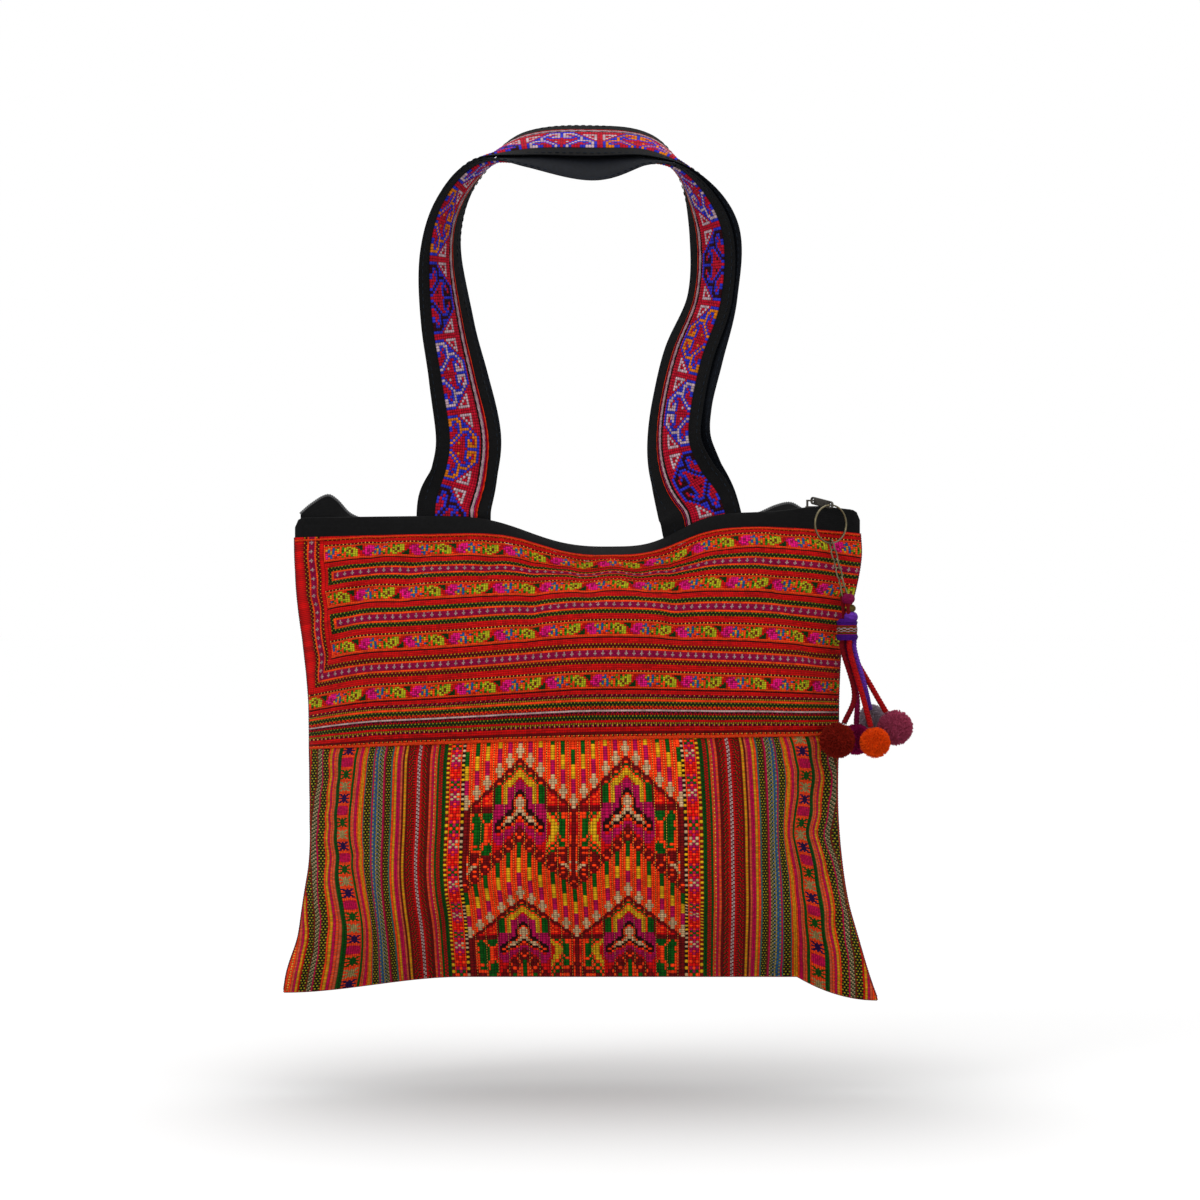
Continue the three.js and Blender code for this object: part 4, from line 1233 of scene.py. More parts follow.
def centre_panel(name, side, letters, widths):
    row = np.linspace(0, CENTRE_ROWS, letters.shape[0] + 1)[:, None]
    down = np.interp(row, [step.row for step in ROW_STEPS], [step.down for step in ROW_STEPS])
    level = mix(MID_SEAM, 1, down)
    share = np.concatenate([[0], np.cumsum(widths)]) / widths.sum()
    x = mix(centre_edge(level, -1), centre_edge(level, 1), share[None, :])
    piece = stitched_grid(name, cloth_point(x, level, side), letters, CENTRE_PAINTED_SHEEN)
    embroider(piece, side, CENTRE_RISE)
    return piece


front_centre = centre_panel("front_centre_embroidery", 1, centre_letters(), column_widths())
finish_piece(front_centre, "bag", "striped_cloth", embroidery, "front_lower_panel")

# %% [markdown]
# Single lurex threads run down the centre panel between the bars. Each is a very narrow strip that
# lies just over the stitches, gold and dark in turn where it dives under the next row.

# %% Lurex threads
LUREX_AWAY = (2, 6, 10.5, 15, 19)
LUREX_WIDTH, LUREX_LIFT, LUREX_ROWS = 0.32, 0.4, 190


def lurex_thread(column, widths):
    edges = np.concatenate([[0], np.cumsum(widths)]) / widths.sum()
    share = np.interp(len(EDGE_WIDTHS) + column + 0.5, np.arange(len(edges)), edges)
    level = np.linspace(MID_SEAM, 1, LUREX_ROWS + 1)[:, None]
    x = mix(centre_edge(level, -1), centre_edge(level, 1), share) + LUREX_WIDTH * np.array([[-0.5, 0.5]])
    points = cloth_point(x, level, 1)
    piece = grid_piece("lurex", points + outward(points, 1) * LUREX_LIFT)
    give_flat(piece, np.array([[0.4, 0.6]]), np.arange(LUREX_ROWS + 1)[:, None])
    give_thread(piece, thread_colours(np.array([["GR"[row % 2]] for row in range(LUREX_ROWS)])))
    edit(piece, (bpy.ops.mesh.flip_normals, {}))
    return piece


columns = [
    middle + hand * away
    for middle in (HALF_BELL, 3 * HALF_BELL) for away in LUREX_AWAY for hand in (-1, 1)
]
piece = join([lurex_thread(column, column_widths()) for column in columns], "front_lurex_threads")
finish_piece(piece, "bag", "striped_cloth", embroidery)

# %% [markdown]
# ## The back of the bag
# The back is never the show side, so it is plainer: the same braid bands above, and below them the
# striped cloth runs on right across. It needs fewer and larger stitches than the front.

# %% Back stripes
BACK_ROWS = 93
BACK_CENTRE_COLUMNS = 110


def back_centre_letters():
    """Stripes right across the middle of the back, the same on both sides of its centre line."""
    half = stripe_lines()[1][:BACK_CENTRE_COLUMNS // 2]
    return stripe_letters(half + half[::-1], BACK_ROWS)


lay_sides("back", -1, BACK_ROWS)
back_centre = centre_panel("back_stripes_centre", -1, back_centre_letters(), np.ones(BACK_CENTRE_COLUMNS))
finish_piece(back_centre, "bag", "striped_cloth", embroidery, "back_lower_panel")

# %% [markdown]
# ## Black cotton
# The band round the mouth and the two handles are plain black cotton, a tight weave that looks
# nearly flat. Two crossed waves give the threads, and a slow noise the worn, greyer places.

# %% Cotton finish


def cotton_finish(name, shine):
    finish = Finish(name, roughness=0.9)
    finish.set("Specular IOR Level", shine)
    worn = finish.noise(finish.place(), 14 * MM, 4.0)
    lint = finish.noise(finish.place(), 1.4 * MM, 2.0)
    finish.set("Base Color", finish.shade(finish.thread(), 0.65 + 0.7 * worn + 0.3 * lint))
    flat = finish.flat()
    weave = finish.waves(flat, 1.0, "X") * finish.waves(flat, 1.0, "Y")
    finish.ridges(weave + 0.6 * lint, 0.1 * MM)
    return finish


cotton = cotton_finish("black_cotton", 0.12)
print("finish:", cotton.material.name)

# %% Top bands
BAND_COLUMNS = 170
BAND_OUTER = np.linspace(1, 0, 7)
BAND_INNER = np.linspace(0, 0.85, 5)
BAND_PUFF, BAND_RIPPLE, RIPPLE_LENGTHS = 0.5, 0.25, (7.3, 11.9)
BAND_THICK, BAND_RIDGE = 0.9 * CLOTH, 0.5
SMOOTH_ANGLE = math.radians(50)


def mouth_depth(x, u):
    rolled = DIP_ROLL * hollow(x - DIP_X, DIP_ROLL_REACH)
    return MOUTH_HALF * (1 - np.abs(u) ** MOUTH_POWER) ** MOUTH_ROUND - rolled


def band_point(x, u, down, side):
    """Outer face of the band round the mouth; down is 0 at its top edge and 1 at its seam."""
    seam = cloth_point(x, np.zeros_like(x), 1)
    y = mix(-(HALF_GAP + CLOTH + mouth_depth(x, u)), seam[..., 1], down)
    z = mix(band_top_z(x, u), seam[..., 2], down)
    return points_at(x, side * y, z)


def top_band(name, side):
    u = np.linspace(-1, 1, BAND_COLUMNS + 1)[:, None]
    left, right = side_seams(np.zeros_like(u))
    x = mix(left, right, (u + 1) / 2)
    ripple = BAND_RIPPLE * np.sin(x / RIPPLE_LENGTHS[0]) * np.sin(x / RIPPLE_LENGTHS[1])
    puff = BAND_PUFF * np.sin(BAND_OUTER * math.pi)[None, :] + ripple
    outer = band_point(x, u, BAND_OUTER[None, :], side)
    outer[..., 1] -= side * puff * side_turn(u)
    inner = band_point(x, u, BAND_INNER[None, :], side)
    inner[..., 1] += side * BAND_THICK
    ridge = (outer[:, -1:] + inner[:, :1]) / 2 + np.array([0, 0, BAND_RIDGE])
    piece = tube_piece(name, np.concatenate([outer, ridge, inner], axis=1), "x")
    bpy.ops.object.shade_smooth_by_angle(angle=SMOOTH_ANGLE)
    return piece


for side, word in SIDES:
    piece = top_band(f"{word}_top_band_cotton", side)
    finish_piece(piece, "bag", "black_cotton", cotton, f"{word}_top_band")

# %% [markdown]
# ## Corded seams
# A thick orange cord with a gold strand is couched over the seam under the black band and over the
# middle seam. It is swept as a tube whose section has three lobes that turn along it.

# %% Seam cords
# Each cord: name, level down the bag, radius and how far its middle stands off the cloth.
SEAM_CORDS = [("top_seam_cord", 0.004, 0.55, 0.4), ("middle_seam_cord", MID_SEAM, 0.75, 0.6)]
SEAM_TURN = 4.2
SEAM_END, SEAM_POINTS = 0.998, 260
CORD_STEP = 0.8
CORD_SIDES = 9


def even_steps(path, step):
    """The same path with points an even step apart."""
    gone = distances(path)
    places = np.linspace(0, gone[-1], max(int(gone[-1] / step), 2) + 1)
    return np.stack([np.interp(places, gone, path[:, axis]) for axis in range(3)], axis=1)


def twisted(path, radius, turn_length, lobes=3, lobe_height=0.16):
    """Rings of a cord whose strands turn round it."""
    return round_rings(path, radius, CORD_SIDES, lobes=lobes, lobe_height=lobe_height,
                       turn_length=turn_length)


def seam_path(level, lift, side):
    u = np.linspace(-SEAM_END, SEAM_END, SEAM_POINTS)
    left, right = side_seams(np.full_like(u, level))
    line = cloth_point(mix(left, right, (u + 1) / 2), np.full_like(u, level), side)
    line[:, 1] -= side * lift
    return even_steps(line, CORD_STEP)


for side, word in SIDES:
    for name, level, radius, lift in SEAM_CORDS:
        rings = twisted(seam_path(level, lift, side), radius, SEAM_TURN)
        piece = tube_piece(f"{word}_{name}", rings, "oooooooooGoo")
        finish_piece(piece, "bag", "embroidered_cloth", embroidery)

# %% [markdown]
# The walls are as thick as cloth, so at the sides and along the bottom a folded edge closes the
# space between them, and a cord of mixed threads runs down the middle of each side's fold.

# %% Side seams and bottom fold
SIDE_SEAM_RADIUS, SIDE_SEAM_TURN = 0.9, 5.0
SIDE_SEAM_THREADS = {-1: "dkkdnkkmk", 1: "ksosnrsmk"}
FOLD_ROUND, FOLD_POINTS, FOLD_THREADS = 0.6, 200, "rRkkkRr"


def fold_piece(first, second, away):
    """Folded edge between two lines, with one thread for each of its columns."""
    share = np.linspace(0, 1, len(FOLD_THREADS) + 1)
    points = mix(first[:, None, :], second[:, None, :], share[None, :, None])
    points = points + FOLD_ROUND * np.sin(math.pi * share)[None, :, None] * np.array(away)
    return stitched_grid("fold", points, np.array([list(FOLD_THREADS)] * (len(first) - 1)))


edges = []
for hand, threads in SIDE_SEAM_THREADS.items():
    level = np.linspace(0.0, 1.0, FOLD_POINTS)
    x = side_seams(level)[0 if hand < 0 else 1]
    front, back = cloth_point(x, level, 1), cloth_point(x, level, -1)
    first, second = (front, back) if hand < 0 else (back, front)
    edges.append(fold_piece(first, second, (hand, 0, 0)))
    path = even_steps(mix(front, back, 0.5)[:-1], CORD_STEP)
    edges.append(tube_piece("edge", twisted(path, SIDE_SEAM_RADIUS, SIDE_SEAM_TURN), threads))
lowest = np.ones(FOLD_POINTS)
x = mix(*side_seams(lowest), np.linspace(0, 1, FOLD_POINTS))
edges.append(fold_piece(cloth_point(x, lowest, 1), cloth_point(x, lowest, -1), (0, 0, -1)))
piece = join(edges, "side_seam_edges")
finish_piece(piece, "bag", "embroidered_cloth", embroidery)

# %% [markdown]
# ## The zip
# The zip is closed. Its two tapes rise like a tent to the coil, highest at both ends of the mouth.
# Each tape is a grid given its thickness by Solidify, and the coil is a tube with a ring for each
# tooth of the nylon spiral.

# %% Zip tapes and coil
Ridge = namedtuple("Ridge", "x z")
ZIP_RIDGE = [Ridge(*row) for row in [
    (-178, -222.0), (-171, -216.0), (-161, -210.4), (-155.5, -213.2), (-147, -222.0), (-135, -226.0),
    (-62, -228.0), (20, -247.0), (84, -228.0), (112, -222.0), (124, -217.0), (133, -215.4),
    (141, -219.6), (148, -222.2), (170, -223.0),
]]
ZIP_ENDS = (-0.98, 0.935)
TAPE_THICK, TAPE_COLUMNS, TAPE_ROWS = 1.08, 240, 8
COIL_RADIUS, COIL_CLEAR, TOOTH, TOOTH_DEPTH = 1.7, 0.4, 1.3, 0.14
TAPE_BELOW_EDGE, TAPE_CLEAR = 3.0, 0.7
POCKET_FROM, POCKET_TO, POCKET_ROOM = 112, 134, 4.4     # room for the handles' sewn ends


def tape_point(x, u, r, side):
    """Upper face of the zip tape; r is 0 at the band and 1 at the coil."""
    pocket = smooth((POCKET_TO - np.abs(x)) / (POCKET_TO - POCKET_FROM))
    room = TAPE_CLEAR + POCKET_ROOM * pocket
    edge_y = -(HALF_GAP + mouth_depth(x, u) - room)
    ridge_y = -(COIL_RADIUS + COIL_CLEAR)
    y = np.minimum(mix(edge_y, ridge_y, r), ridge_y - COIL_CLEAR * (1 - r))
    z = mix(band_top_z(x, u) - TAPE_BELOW_EDGE, curve(ZIP_RIDGE, "x", "z", x), r)
    return points_at(x, y * side, z)


def zip_tape(name, side):
    u = np.linspace(*ZIP_ENDS, TAPE_COLUMNS + 1)[None, :]
    left, right = side_seams(np.zeros_like(u))
    x = mix(left, right, (u + 1) / 2)
    r = np.linspace(1, 0, TAPE_ROWS + 1)[:, None]
    piece = grid_piece(name, tape_point(x, u, r, side))
    give_flat(piece, x / TUBE_STITCH, r * TAPE_ROWS)
    give_thread(piece, thread_colours(np.full((TAPE_ROWS, TAPE_COLUMNS), "x")))
    if side > 0:
        edit(piece, (bpy.ops.mesh.flip_normals, {}))
    select_only(piece)
    bpy.ops.object.modifier_add(type="SOLIDIFY")
    piece.modifiers[0].thickness = TAPE_THICK * MM
    bpy.ops.object.modifier_apply(modifier=piece.modifiers[0].name)
    return piece


for side, word in SIDES:
    piece = zip_tape(f"zip_tape_{word}_twill", side)
    finish_piece(piece, "bag", "zip_tape", cotton, f"zip_tape_{word}")

nylon = Finish("zip_nylon", roughness=0.42)
nylon_wear = 0.7 + 0.6 * nylon.noise(nylon.place(), 3 * MM)
nylon.set("Base Color", nylon.shade((0.012, 0.012, 0.013, 1), nylon_wear))
coil_x = np.linspace(*[float(mix(*side_seams(0.0), (end + 1) / 2)) for end in ZIP_ENDS], 700)
coil_path = points_at(coil_x, 0.0, curve(ZIP_RIDGE, "x", "z", coil_x))
coil_path = even_steps(coil_path, TOOTH / 3)
tooth_wave = np.cos(2 * math.pi * np.arange(len(coil_path)) / 3)
coil_swell = COIL_RADIUS * (1 - TOOTH_DEPTH + TOOTH_DEPTH * tooth_wave)
coil = tube_piece("zip_coil_teeth", round_rings(coil_path, coil_swell, 8), "x")
finish_piece(coil, "bag", "zip_nylon", nylon, "zip_coil")

# %% [markdown]
# ## The handles
# Two cotton straps lie lining to lining, sewn inside the band at both ends. They stand up from the
# bag facing the front and roll over on their way to the crown. Each row of the table is a place on
# the loop, the angle of that roll, the room between the straps and how far each slips sideways.

# %% The straps' way
Spot = namedtuple("Spot", "at x z turn apart slip_front slip_back")
STRAP = [Spot(at, *row) for at, row in enumerate([
    (-79.5, -231.0, 0, 15.8, 0, 0), (-79.0, -216.0, 0, 15.8, 0, 0), (-74.0, -196.0, 20, 12.0, -2, 2),
    (-71.8, -172.0, 27, 7.0, -2, 3), (-77.5, -136.0, 39, 3.6, -3, 3), (-84.5, -101.0, 46, 3.0, -3, 3),
    (-88.8, -58.0, 59, 3.0, -4, 4), (-83.0, -27.0, 69, 3.0, -5, 5), (-66.0, -2.0, 82, 2.6, -3, 3),
    (-35.6, 10.0, 115, 2.8, -9, 6), (8.0, 10.8, 122, 5.0, -20, 6), (44.0, 9.0, 113, 2.8, -6, 5),
    (68.0, -8.0, 82, 2.6, -1, 0), (82.8, -42.0, 55, 3.0, -1, -4), (82.0, -84.0, 51, 3.0, -1, -3),
    (71.0, -121.0, 45, 3.0, 2, -3), (62.5, -152.0, 43, 4.0, 0, -4), (61.5, -176.0, 40, 7.0, 0, -2),
    (67.0, -198.0, 20, 12.0, 0, -1), (76.0, -216.0, 0, 15.8, 0, -2), (80.0, -231.0, 0, 15.8, 0, -2),
])]
STRAP_HALF, STRAP_THICK = 22.0, 2.0
LOOK_AHEAD = 0.05
VIEWER = np.array([0.0, -1.0, 0.0])


def strap_axes(at):
    """Middle of the loop, the way the straps face and the way to the loop's inside."""
    last = len(STRAP) - 1
    ahead, behind = np.minimum(at + LOOK_AHEAD, last), np.maximum(at - LOOK_AHEAD, 0)
    steps = [curve(STRAP, "at", axis, ahead) - curve(STRAP, "at", axis, behind) for axis in "xz"]
    forward = unit(np.stack(steps, -1))
    inward = points_at(forward[..., 1], 0.0, -forward[..., 0])
    turn = np.radians(curve(STRAP, "at", "turn", at))[..., None]
    middle = points_at(curve(STRAP, "at", "x", at), 0.0, curve(STRAP, "at", "z", at))
    face = VIEWER * np.cos(turn) + inward * np.sin(turn)
    return middle, face, inward * np.cos(turn) - VIEWER * np.sin(turn)


def strap_point(share, sideways, height, side):
    """A point of a strap: share of its way, distance from its middle line and height over its middle."""
    at = np.asarray(share * (len(STRAP) - 1), float)
    middle, face, to_inside = strap_axes(at)
    slip = curve(STRAP, "at", "slip_front" if side > 0 else "slip_back", at)
    lift = curve(STRAP, "at", "apart", at) / 2 + height
    return middle + face * (lift * side)[..., None] + to_inside * (slip + sideways)[..., None]


def strap_shares(step, side):
    """Shares of the way that lie an even step apart along the strap's middle."""
    fine = np.linspace(0, 1, 3000)
    line = strap_point(fine, 0.0 * fine, 0.0, side)
    gone = distances(line)
    return np.interp(np.linspace(0, gone[-1], int(gone[-1] / step) + 1), gone, fine), gone[-1]


print("strap length:", round(strap_shares(1.0, 1)[1]), "mm")

# %% Straps
STRAP_STEP = 2.0
STRAP_ACROSS = 12
EDGE_THIN, EDGE_POWER = 0.75, 12
STRAP_BOW, STRAP_WAVES = 0.35, 61
# How far an edge spreads, from which share of the strap's way, and over how much of it.
FLARE_LEFT, FLARE_LEFT_FROM, FLARE_LEFT_OVER = 2.5, 0.10, 0.05
FLARE_RIGHT, FLARE_RIGHT_FROM, FLARE_RIGHT_OVER = 6.5, 0.89, 0.06
FLARE_EDGE, FLARE_WIDTH = 13, 9


def flare(share, sideways):
    """The straps' edges spread where they enter the band."""
    edges = [smooth((hand * sideways - FLARE_EDGE) / FLARE_WIDTH) for hand in (-1, 1)]
    left = smooth((FLARE_LEFT_FROM - share) / FLARE_LEFT_OVER) * edges[0]
    right = smooth((share - FLARE_RIGHT_FROM) / FLARE_RIGHT_OVER) * edges[1]
    return FLARE_RIGHT * right - FLARE_LEFT * left


def strap_piece(name, side):
    share = strap_shares(STRAP_STEP, side)[0][:, None]
    sideways = np.linspace(-STRAP_HALF, STRAP_HALF, STRAP_ACROSS)
    half = STRAP_THICK / 2 * (1 - EDGE_THIN * np.abs(sideways / STRAP_HALF) ** EDGE_POWER)
    bow = STRAP_BOW * np.sin(share * STRAP_WAVES) * np.abs(sideways / STRAP_HALF)[None, :] ** 2
    spread = np.broadcast_arrays(share, sideways[None, :] + flare(share, sideways[None, :]))
    outer = strap_point(spread[0], spread[1], half[None, :] + bow, side)
    inner = strap_point(spread[0], spread[1], -half[None, :] + bow, side)
    rings = np.concatenate([outer, inner[:, ::-1]], axis=1)
    piece = tube_piece(name, rings, "x" * STRAP_ACROSS + "X" * STRAP_ACROSS)
    bpy.ops.object.shade_smooth_by_angle(angle=SMOOTH_ANGLE)
    return piece


for side, word in SIDES:
    piece = strap_piece(f"{word}_strap_cotton", side)
    finish_piece(piece, "bag", "black_cotton", cotton, f"{word}_strap")
    strap_shares(1.0, side)[1] * MM

# %% [markdown]
# ## The handles' ribbon
# A cross-stitched ribbon is sewn down the middle of each handle. Its chart is one hooked leaf in
# blue with a light thread along its middle, on red. The light thread changes from leaf to leaf.

# %% Ribbon chart
LEAF_HALF = [
    "BBBB.WWWWW...", "wwwwB.W..W...", "wBBwwB.W.W...", "wB.BwBB.WW...", "B.BBwBBB.W...",
    "B..BwwwwB....", "...BwBBBwB...", "..BwB..BBwB..", ".BwB..BB.wwB.", "BwB...BwB.wB.",
    "wB.w..Bww.wB.", "B.....BwwwwB.",
]
LEAF = LEAF_HALF + [".......BBBBB."] + LEAF_HALF[::-1] + ["............."] * 2
LIGHT_THREADS = {1: "KOP", -1: "OKP"}
RIBBON_FROM, RIBBON_TO = -12.8, 8.8
RIBBON_LIFT, RIBBON_THICK = 0.25, 1.0
LEAF_STITCH = 1.8                 # length of one stitch along the ribbon
LEAF_START = {1: 11, -1: -7}      # row of the leaf that the count starts with
LEAF_RISE = 1.6 * STITCH_RISE


def ribbon_letters(rows, side):
    """The front ribbon's leaves are counted from its left end, the back one's from the crown."""
    letters = []
    for row in range(rows):
        place = row + LEAF_START[side] - (0 if side > 0 else rows // 2)
        light = LIGHT_THREADS[side][place // len(LEAF) % 3]
        chart = LEAF[place % len(LEAF)]
        letters.append(list(chart.replace("w", light).replace("W", "P").replace(".", "q")))
    return np.array(letters)


def strap_ribbon(name, side):
    columns = len(LEAF[0])
    share = strap_shares(LEAF_STITCH, side)[0]
    sideways = np.linspace(RIBBON_FROM, RIBBON_TO, columns + 1)
    height = np.full(columns + 1, STRAP_THICK / 2 + RIBBON_LIFT + RIBBON_THICK)
    height[[0, -1]] = STRAP_THICK / 2
    spread = np.broadcast_arrays(share[:, None], sideways[None, :])
    points = strap_point(spread[0], spread[1], height[None, :], side)
    piece = stitched_grid(name, points, ribbon_letters(len(share) - 1, side))
    edit(piece, (bpy.ops.mesh.poke, {"offset": side * LEAF_RISE}))
    return piece, len(share) * LEAF_STITCH


for side, word in SIDES:
    piece, length = strap_ribbon(f"{word}_strap_cross_stitch", side)
    finish_piece(piece, "bag", "ribbon", embroidery, f"{word}_strap_ribbon")
    length * MM

# %% [markdown]
# Beside the ribbon run three thin trims, twisted like the seam cords. A row of dark stitches holds
# both edges of each strap; a stitch is a small spindle, half sunk into the cotton.

# %% Trims of the handles
# Each trim: name, place across the strap, radius at both ends, length of one twist and its threads.
Trim = namedtuple("Trim", "name sideways radius twist threads")
TRIMS = [
    Trim("pale_braid", 10.6, (1.0, 0.7), 1.9, "PPWPPWPPW"),
    Trim("red_edge", 12.0, (0.45, 0.3), 1.6, "RRpRRRpRR"),
    Trim("orange_cord", 13.2, (1.0, 0.3), 2.2, "oooooorrr"),
]
TRIM_STEP, TRIM_THINS, TRIM_LOBE = 1.1, 0.3, 0.2
STITCH_LENGTH, STITCH_GAP, STITCH_RADIUS = 3.0, 1.4, 0.28
STITCH_LINES, STITCH_HEIGHT = (-19.6, 20.3), 0.38 * STRAP_THICK
STITCH_FINE, STITCH_SIDES, STITCH_SHOULDERS = 0.2, 5, (0.22, 0.78)

for side, word in SIDES:
    share = strap_shares(TRIM_STEP, side)[0]
    for trim in TRIMS:
        radius = mix(*trim.radius, smooth(share / TRIM_THINS))
        path = strap_point(share, np.full_like(share, trim.sideways), STRAP_THICK / 2 + radius * 0.5, side)
        rings = twisted(path, radius, trim.twist, lobes=2, lobe_height=TRIM_LOBE)
        piece = tube_piece(f"{word}_strap_{trim.name}", rings, trim.threads)
        finish_piece(piece, "bag", "ribbon", embroidery)

# %% Stitches of the handles


def stitch_run(path, length, gap, radius):
    """Corners and faces of a row of stitches along a path, each a small spindle."""
    dense = even_steps(path, STITCH_FINE)
    ahead = along_path(dense)
    pitch = length + gap
    starts = np.arange(0, len(dense) * STITCH_FINE - pitch, pitch)
    points, faces = [], []
    ring = [(math.cos(a), math.sin(a)) for a in np.linspace(0, 2 * math.pi, STITCH_SIDES, endpoint=False)]
    for start in starts:
        first = int(start / STITCH_FINE)
        a, b = dense[first], dense[min(first + int(length / STITCH_FINE), len(dense) - 1)]
        way = ahead[first]
        across = unit(np.cross(way, (0.3, 0.9, 0.3)))
        over = np.cross(way, across)
        tip = len(points)
        points.append(a)
        for share in STITCH_SHOULDERS:
            for cos, sin in ring:
                points.append(a + (b - a) * share + radius * (cos * across + sin * over))
        end = len(points)
        points.append(b)
        for i in range(STITCH_SIDES):
            near, near_next = tip + 1 + i, tip + 1 + (i + 1) % STITCH_SIDES
            far, far_next = near + STITCH_SIDES, near_next + STITCH_SIDES
            faces += [(tip, near_next, near), (end, far, far_next), (near, near_next, far_next, far)]
    return points, faces


def joined_piece(name, points, faces, letters):
    """Many small things as one mesh, with a letter for each face."""
    mesh = bpy.data.meshes.new(name)
    mesh.from_pydata([tuple(point) for point in np.array(points) * MM], [], faces)
    piece = bpy.data.objects.new(name, mesh)
    bpy.context.collection.objects.link(piece)
    mesh.uv_layers.new(name="cloth")
    sides = [len(face) for face in faces]
    attribute = mesh.color_attributes.new("thread", "FLOAT_COLOR", "CORNER")
    colours = np.repeat(thread_colours(np.array(letters)), sides, axis=0)
    attribute.data.foreach_set("color", colours.astype(np.float32).ravel())
    edit(piece, (bpy.ops.mesh.normals_make_consistent, {"inside": False}))
    return piece


for side, word in SIDES:
    points, faces = [], []
    share = strap_shares(TRIM_STEP, side)[0]
    for sideways in STITCH_LINES:
        for height in (STITCH_HEIGHT, -STITCH_HEIGHT):
            line = strap_point(share, np.full_like(share, sideways), height, side)
            more_points, more_faces = stitch_run(line, STITCH_LENGTH, STITCH_GAP, STITCH_RADIUS)
            faces += [tuple(corner + len(points) for corner in face) for face in more_faces]
            points += more_points
    piece = joined_piece(f"{word}_strap_stitches", points, faces, ["z"] * len(faces))
    finish_piece(piece, "bag", "black_cotton", cotton)

# %% [markdown]
# ## Metal of the zip and the charm
# The slider and its pull are blackened metal, the ring and chain aged brass. The slider and pull
# keep their solids; the ring is wound again as a true split ring of two turns, and the chain's
# links as round wire.

# %% Metal finishes


def metal_finish(name, colour, tarnish, roughness):
    finish = Finish(name, metallic=1.0)
    spots = finish.noise(finish.place(), 2.5 * MM, 4.0)
    finish.set("Base Color", finish.blend(spots, colour + (1,), tarnish + (1,)))
    finish.set("Roughness", roughness + 0.25 * spots)
    finish.ridges(finish.noise(finish.place(), 0.6 * MM, 2.0), 0.03 * MM)
    return finish


dark_metal = metal_finish("dark_metal", (0.10, 0.09, 0.075), (0.03, 0.028, 0.026), 0.3)
brass = metal_finish("aged_brass", (0.20, 0.165, 0.09), (0.055, 0.05, 0.035), 0.22)
for node in ("zip_slider", "zip_pull"):
    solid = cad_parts[node]
    solid.data.materials.clear()
    solid.data.materials.append(dark_metal.material)
print("metals:", dark_metal.material.name, brass.material.name)

# %% Split ring and chain
SWING_AXIS = np.array([-0.842824, -0.538189, 0.0])
LEVEL_WAY = np.array([0.538189, -0.842824, 0.0])
UP = np.array([0.0, 0.0, 1.0])
PULL_END = np.array([157.577, -15.780, -216.329])
RING_RADIUS, RING_WIRE, RING_TURNS, RING_PITCH = 12.0, 0.52, 2.04, 1.0
ring_centre = PULL_END - UP * RING_RADIUS
LINK_COUNT, LINK_LENGTH, LINK_WIDTH, LINK_WIRE, LINK_FUSE, LINK_CLEAR = 6, 8.0, 5.0, 0.55, 0.25, 0.6
LINK_SEAT = 0.75                  # half the split ring's thickness, where the first link rests
CHAIN_WAY = unit(np.array([0.245, -0.04, -0.968]))
link_reach = LINK_LENGTH / 2 - LINK_WIRE
link_pitch = 2 * link_reach - 2 * LINK_WIRE + LINK_FUSE
first_link = ring_centre - UP * (RING_RADIUS - LINK_SEAT - LINK_WIRE - LINK_CLEAR) + CHAIN_WAY * link_reach


def loop_piece(name, path, radius, sides, letters="x"):
    """A closed loop of wire."""
    middle = path.mean(axis=0)
    normal = unit(np.cross(path[0] - middle, path[len(path) // 4] - middle))
    ahead = unit(np.roll(path, -1, axis=0) - np.roll(path, 1, axis=0))
    across = np.cross(ahead, normal)
    angle = np.linspace(0, 2 * math.pi, sides, endpoint=False)[None, :, None]
    rings = path[:, None] + radius * (np.cos(angle) * across[:, None] + np.sin(angle) * normal)
    return tube_piece(name, rings, letters, closed_path=True)


def oval(across, way, place, length, width, wire, steps):
    """Middle line of a link: two half circles with straight sides between them."""
    bend = (width - 2 * wire) / 2
    stretch = (length - 2 * wire) / 2 - bend
    angle = np.linspace(0, 2 * math.pi, steps, endpoint=False) + math.pi / steps
    lengthwise = bend * np.sin(angle) + np.sign(np.sin(angle)) * stretch
    return place + np.cos(angle)[:, None] * bend * across + lengthwise[:, None] * way


def link_axes(number):
    """The way across a link, every second one turned, and its place."""
    side = unit(np.cross(CHAIN_WAY, SWING_AXIS))
    across = side if number % 2 == 0 else np.cross(side, CHAIN_WAY)
    return across, first_link + CHAIN_WAY * number * link_pitch


turn = np.linspace(0, 2 * math.pi * RING_TURNS, 120)
spread = (turn / turn[-1] - 0.5) * RING_PITCH
ring_path = (ring_centre + RING_RADIUS * (np.sin(turn)[:, None] * SWING_AXIS + np.cos(turn)[:, None] * UP)
             + spread[:, None] * LEVEL_WAY)
ring = tube_piece("split_ring", round_rings(ring_path, RING_WIRE, 10, up=LEVEL_WAY), "x")
bpy.ops.object.shade_smooth()
finish_piece(ring, "charm", "aged_brass", brass, "key_ring")

links = []
for number in range(LINK_COUNT):
    across, place = link_axes(number)
    path = oval(across, CHAIN_WAY, place, LINK_LENGTH, LINK_WIDTH, LINK_WIRE, 28)
    links.append(loop_piece(f"link_{number}", path, LINK_WIRE, 8))
chain = join(links, "chain_links")
bpy.ops.object.shade_smooth()
finish_piece(chain, "charm", "aged_brass", brass, "charm_chain")

# %% [markdown]
# ## The tassel
# A bound head holds five twisted cords, and each cord ends in a wool pompom. The head is a lathe
# shape wound with thread; a pompom is a small ball with a couple of thousand wool ends standing
# on it, every one a thin spike, because that is what gives a pompom its soft edge.

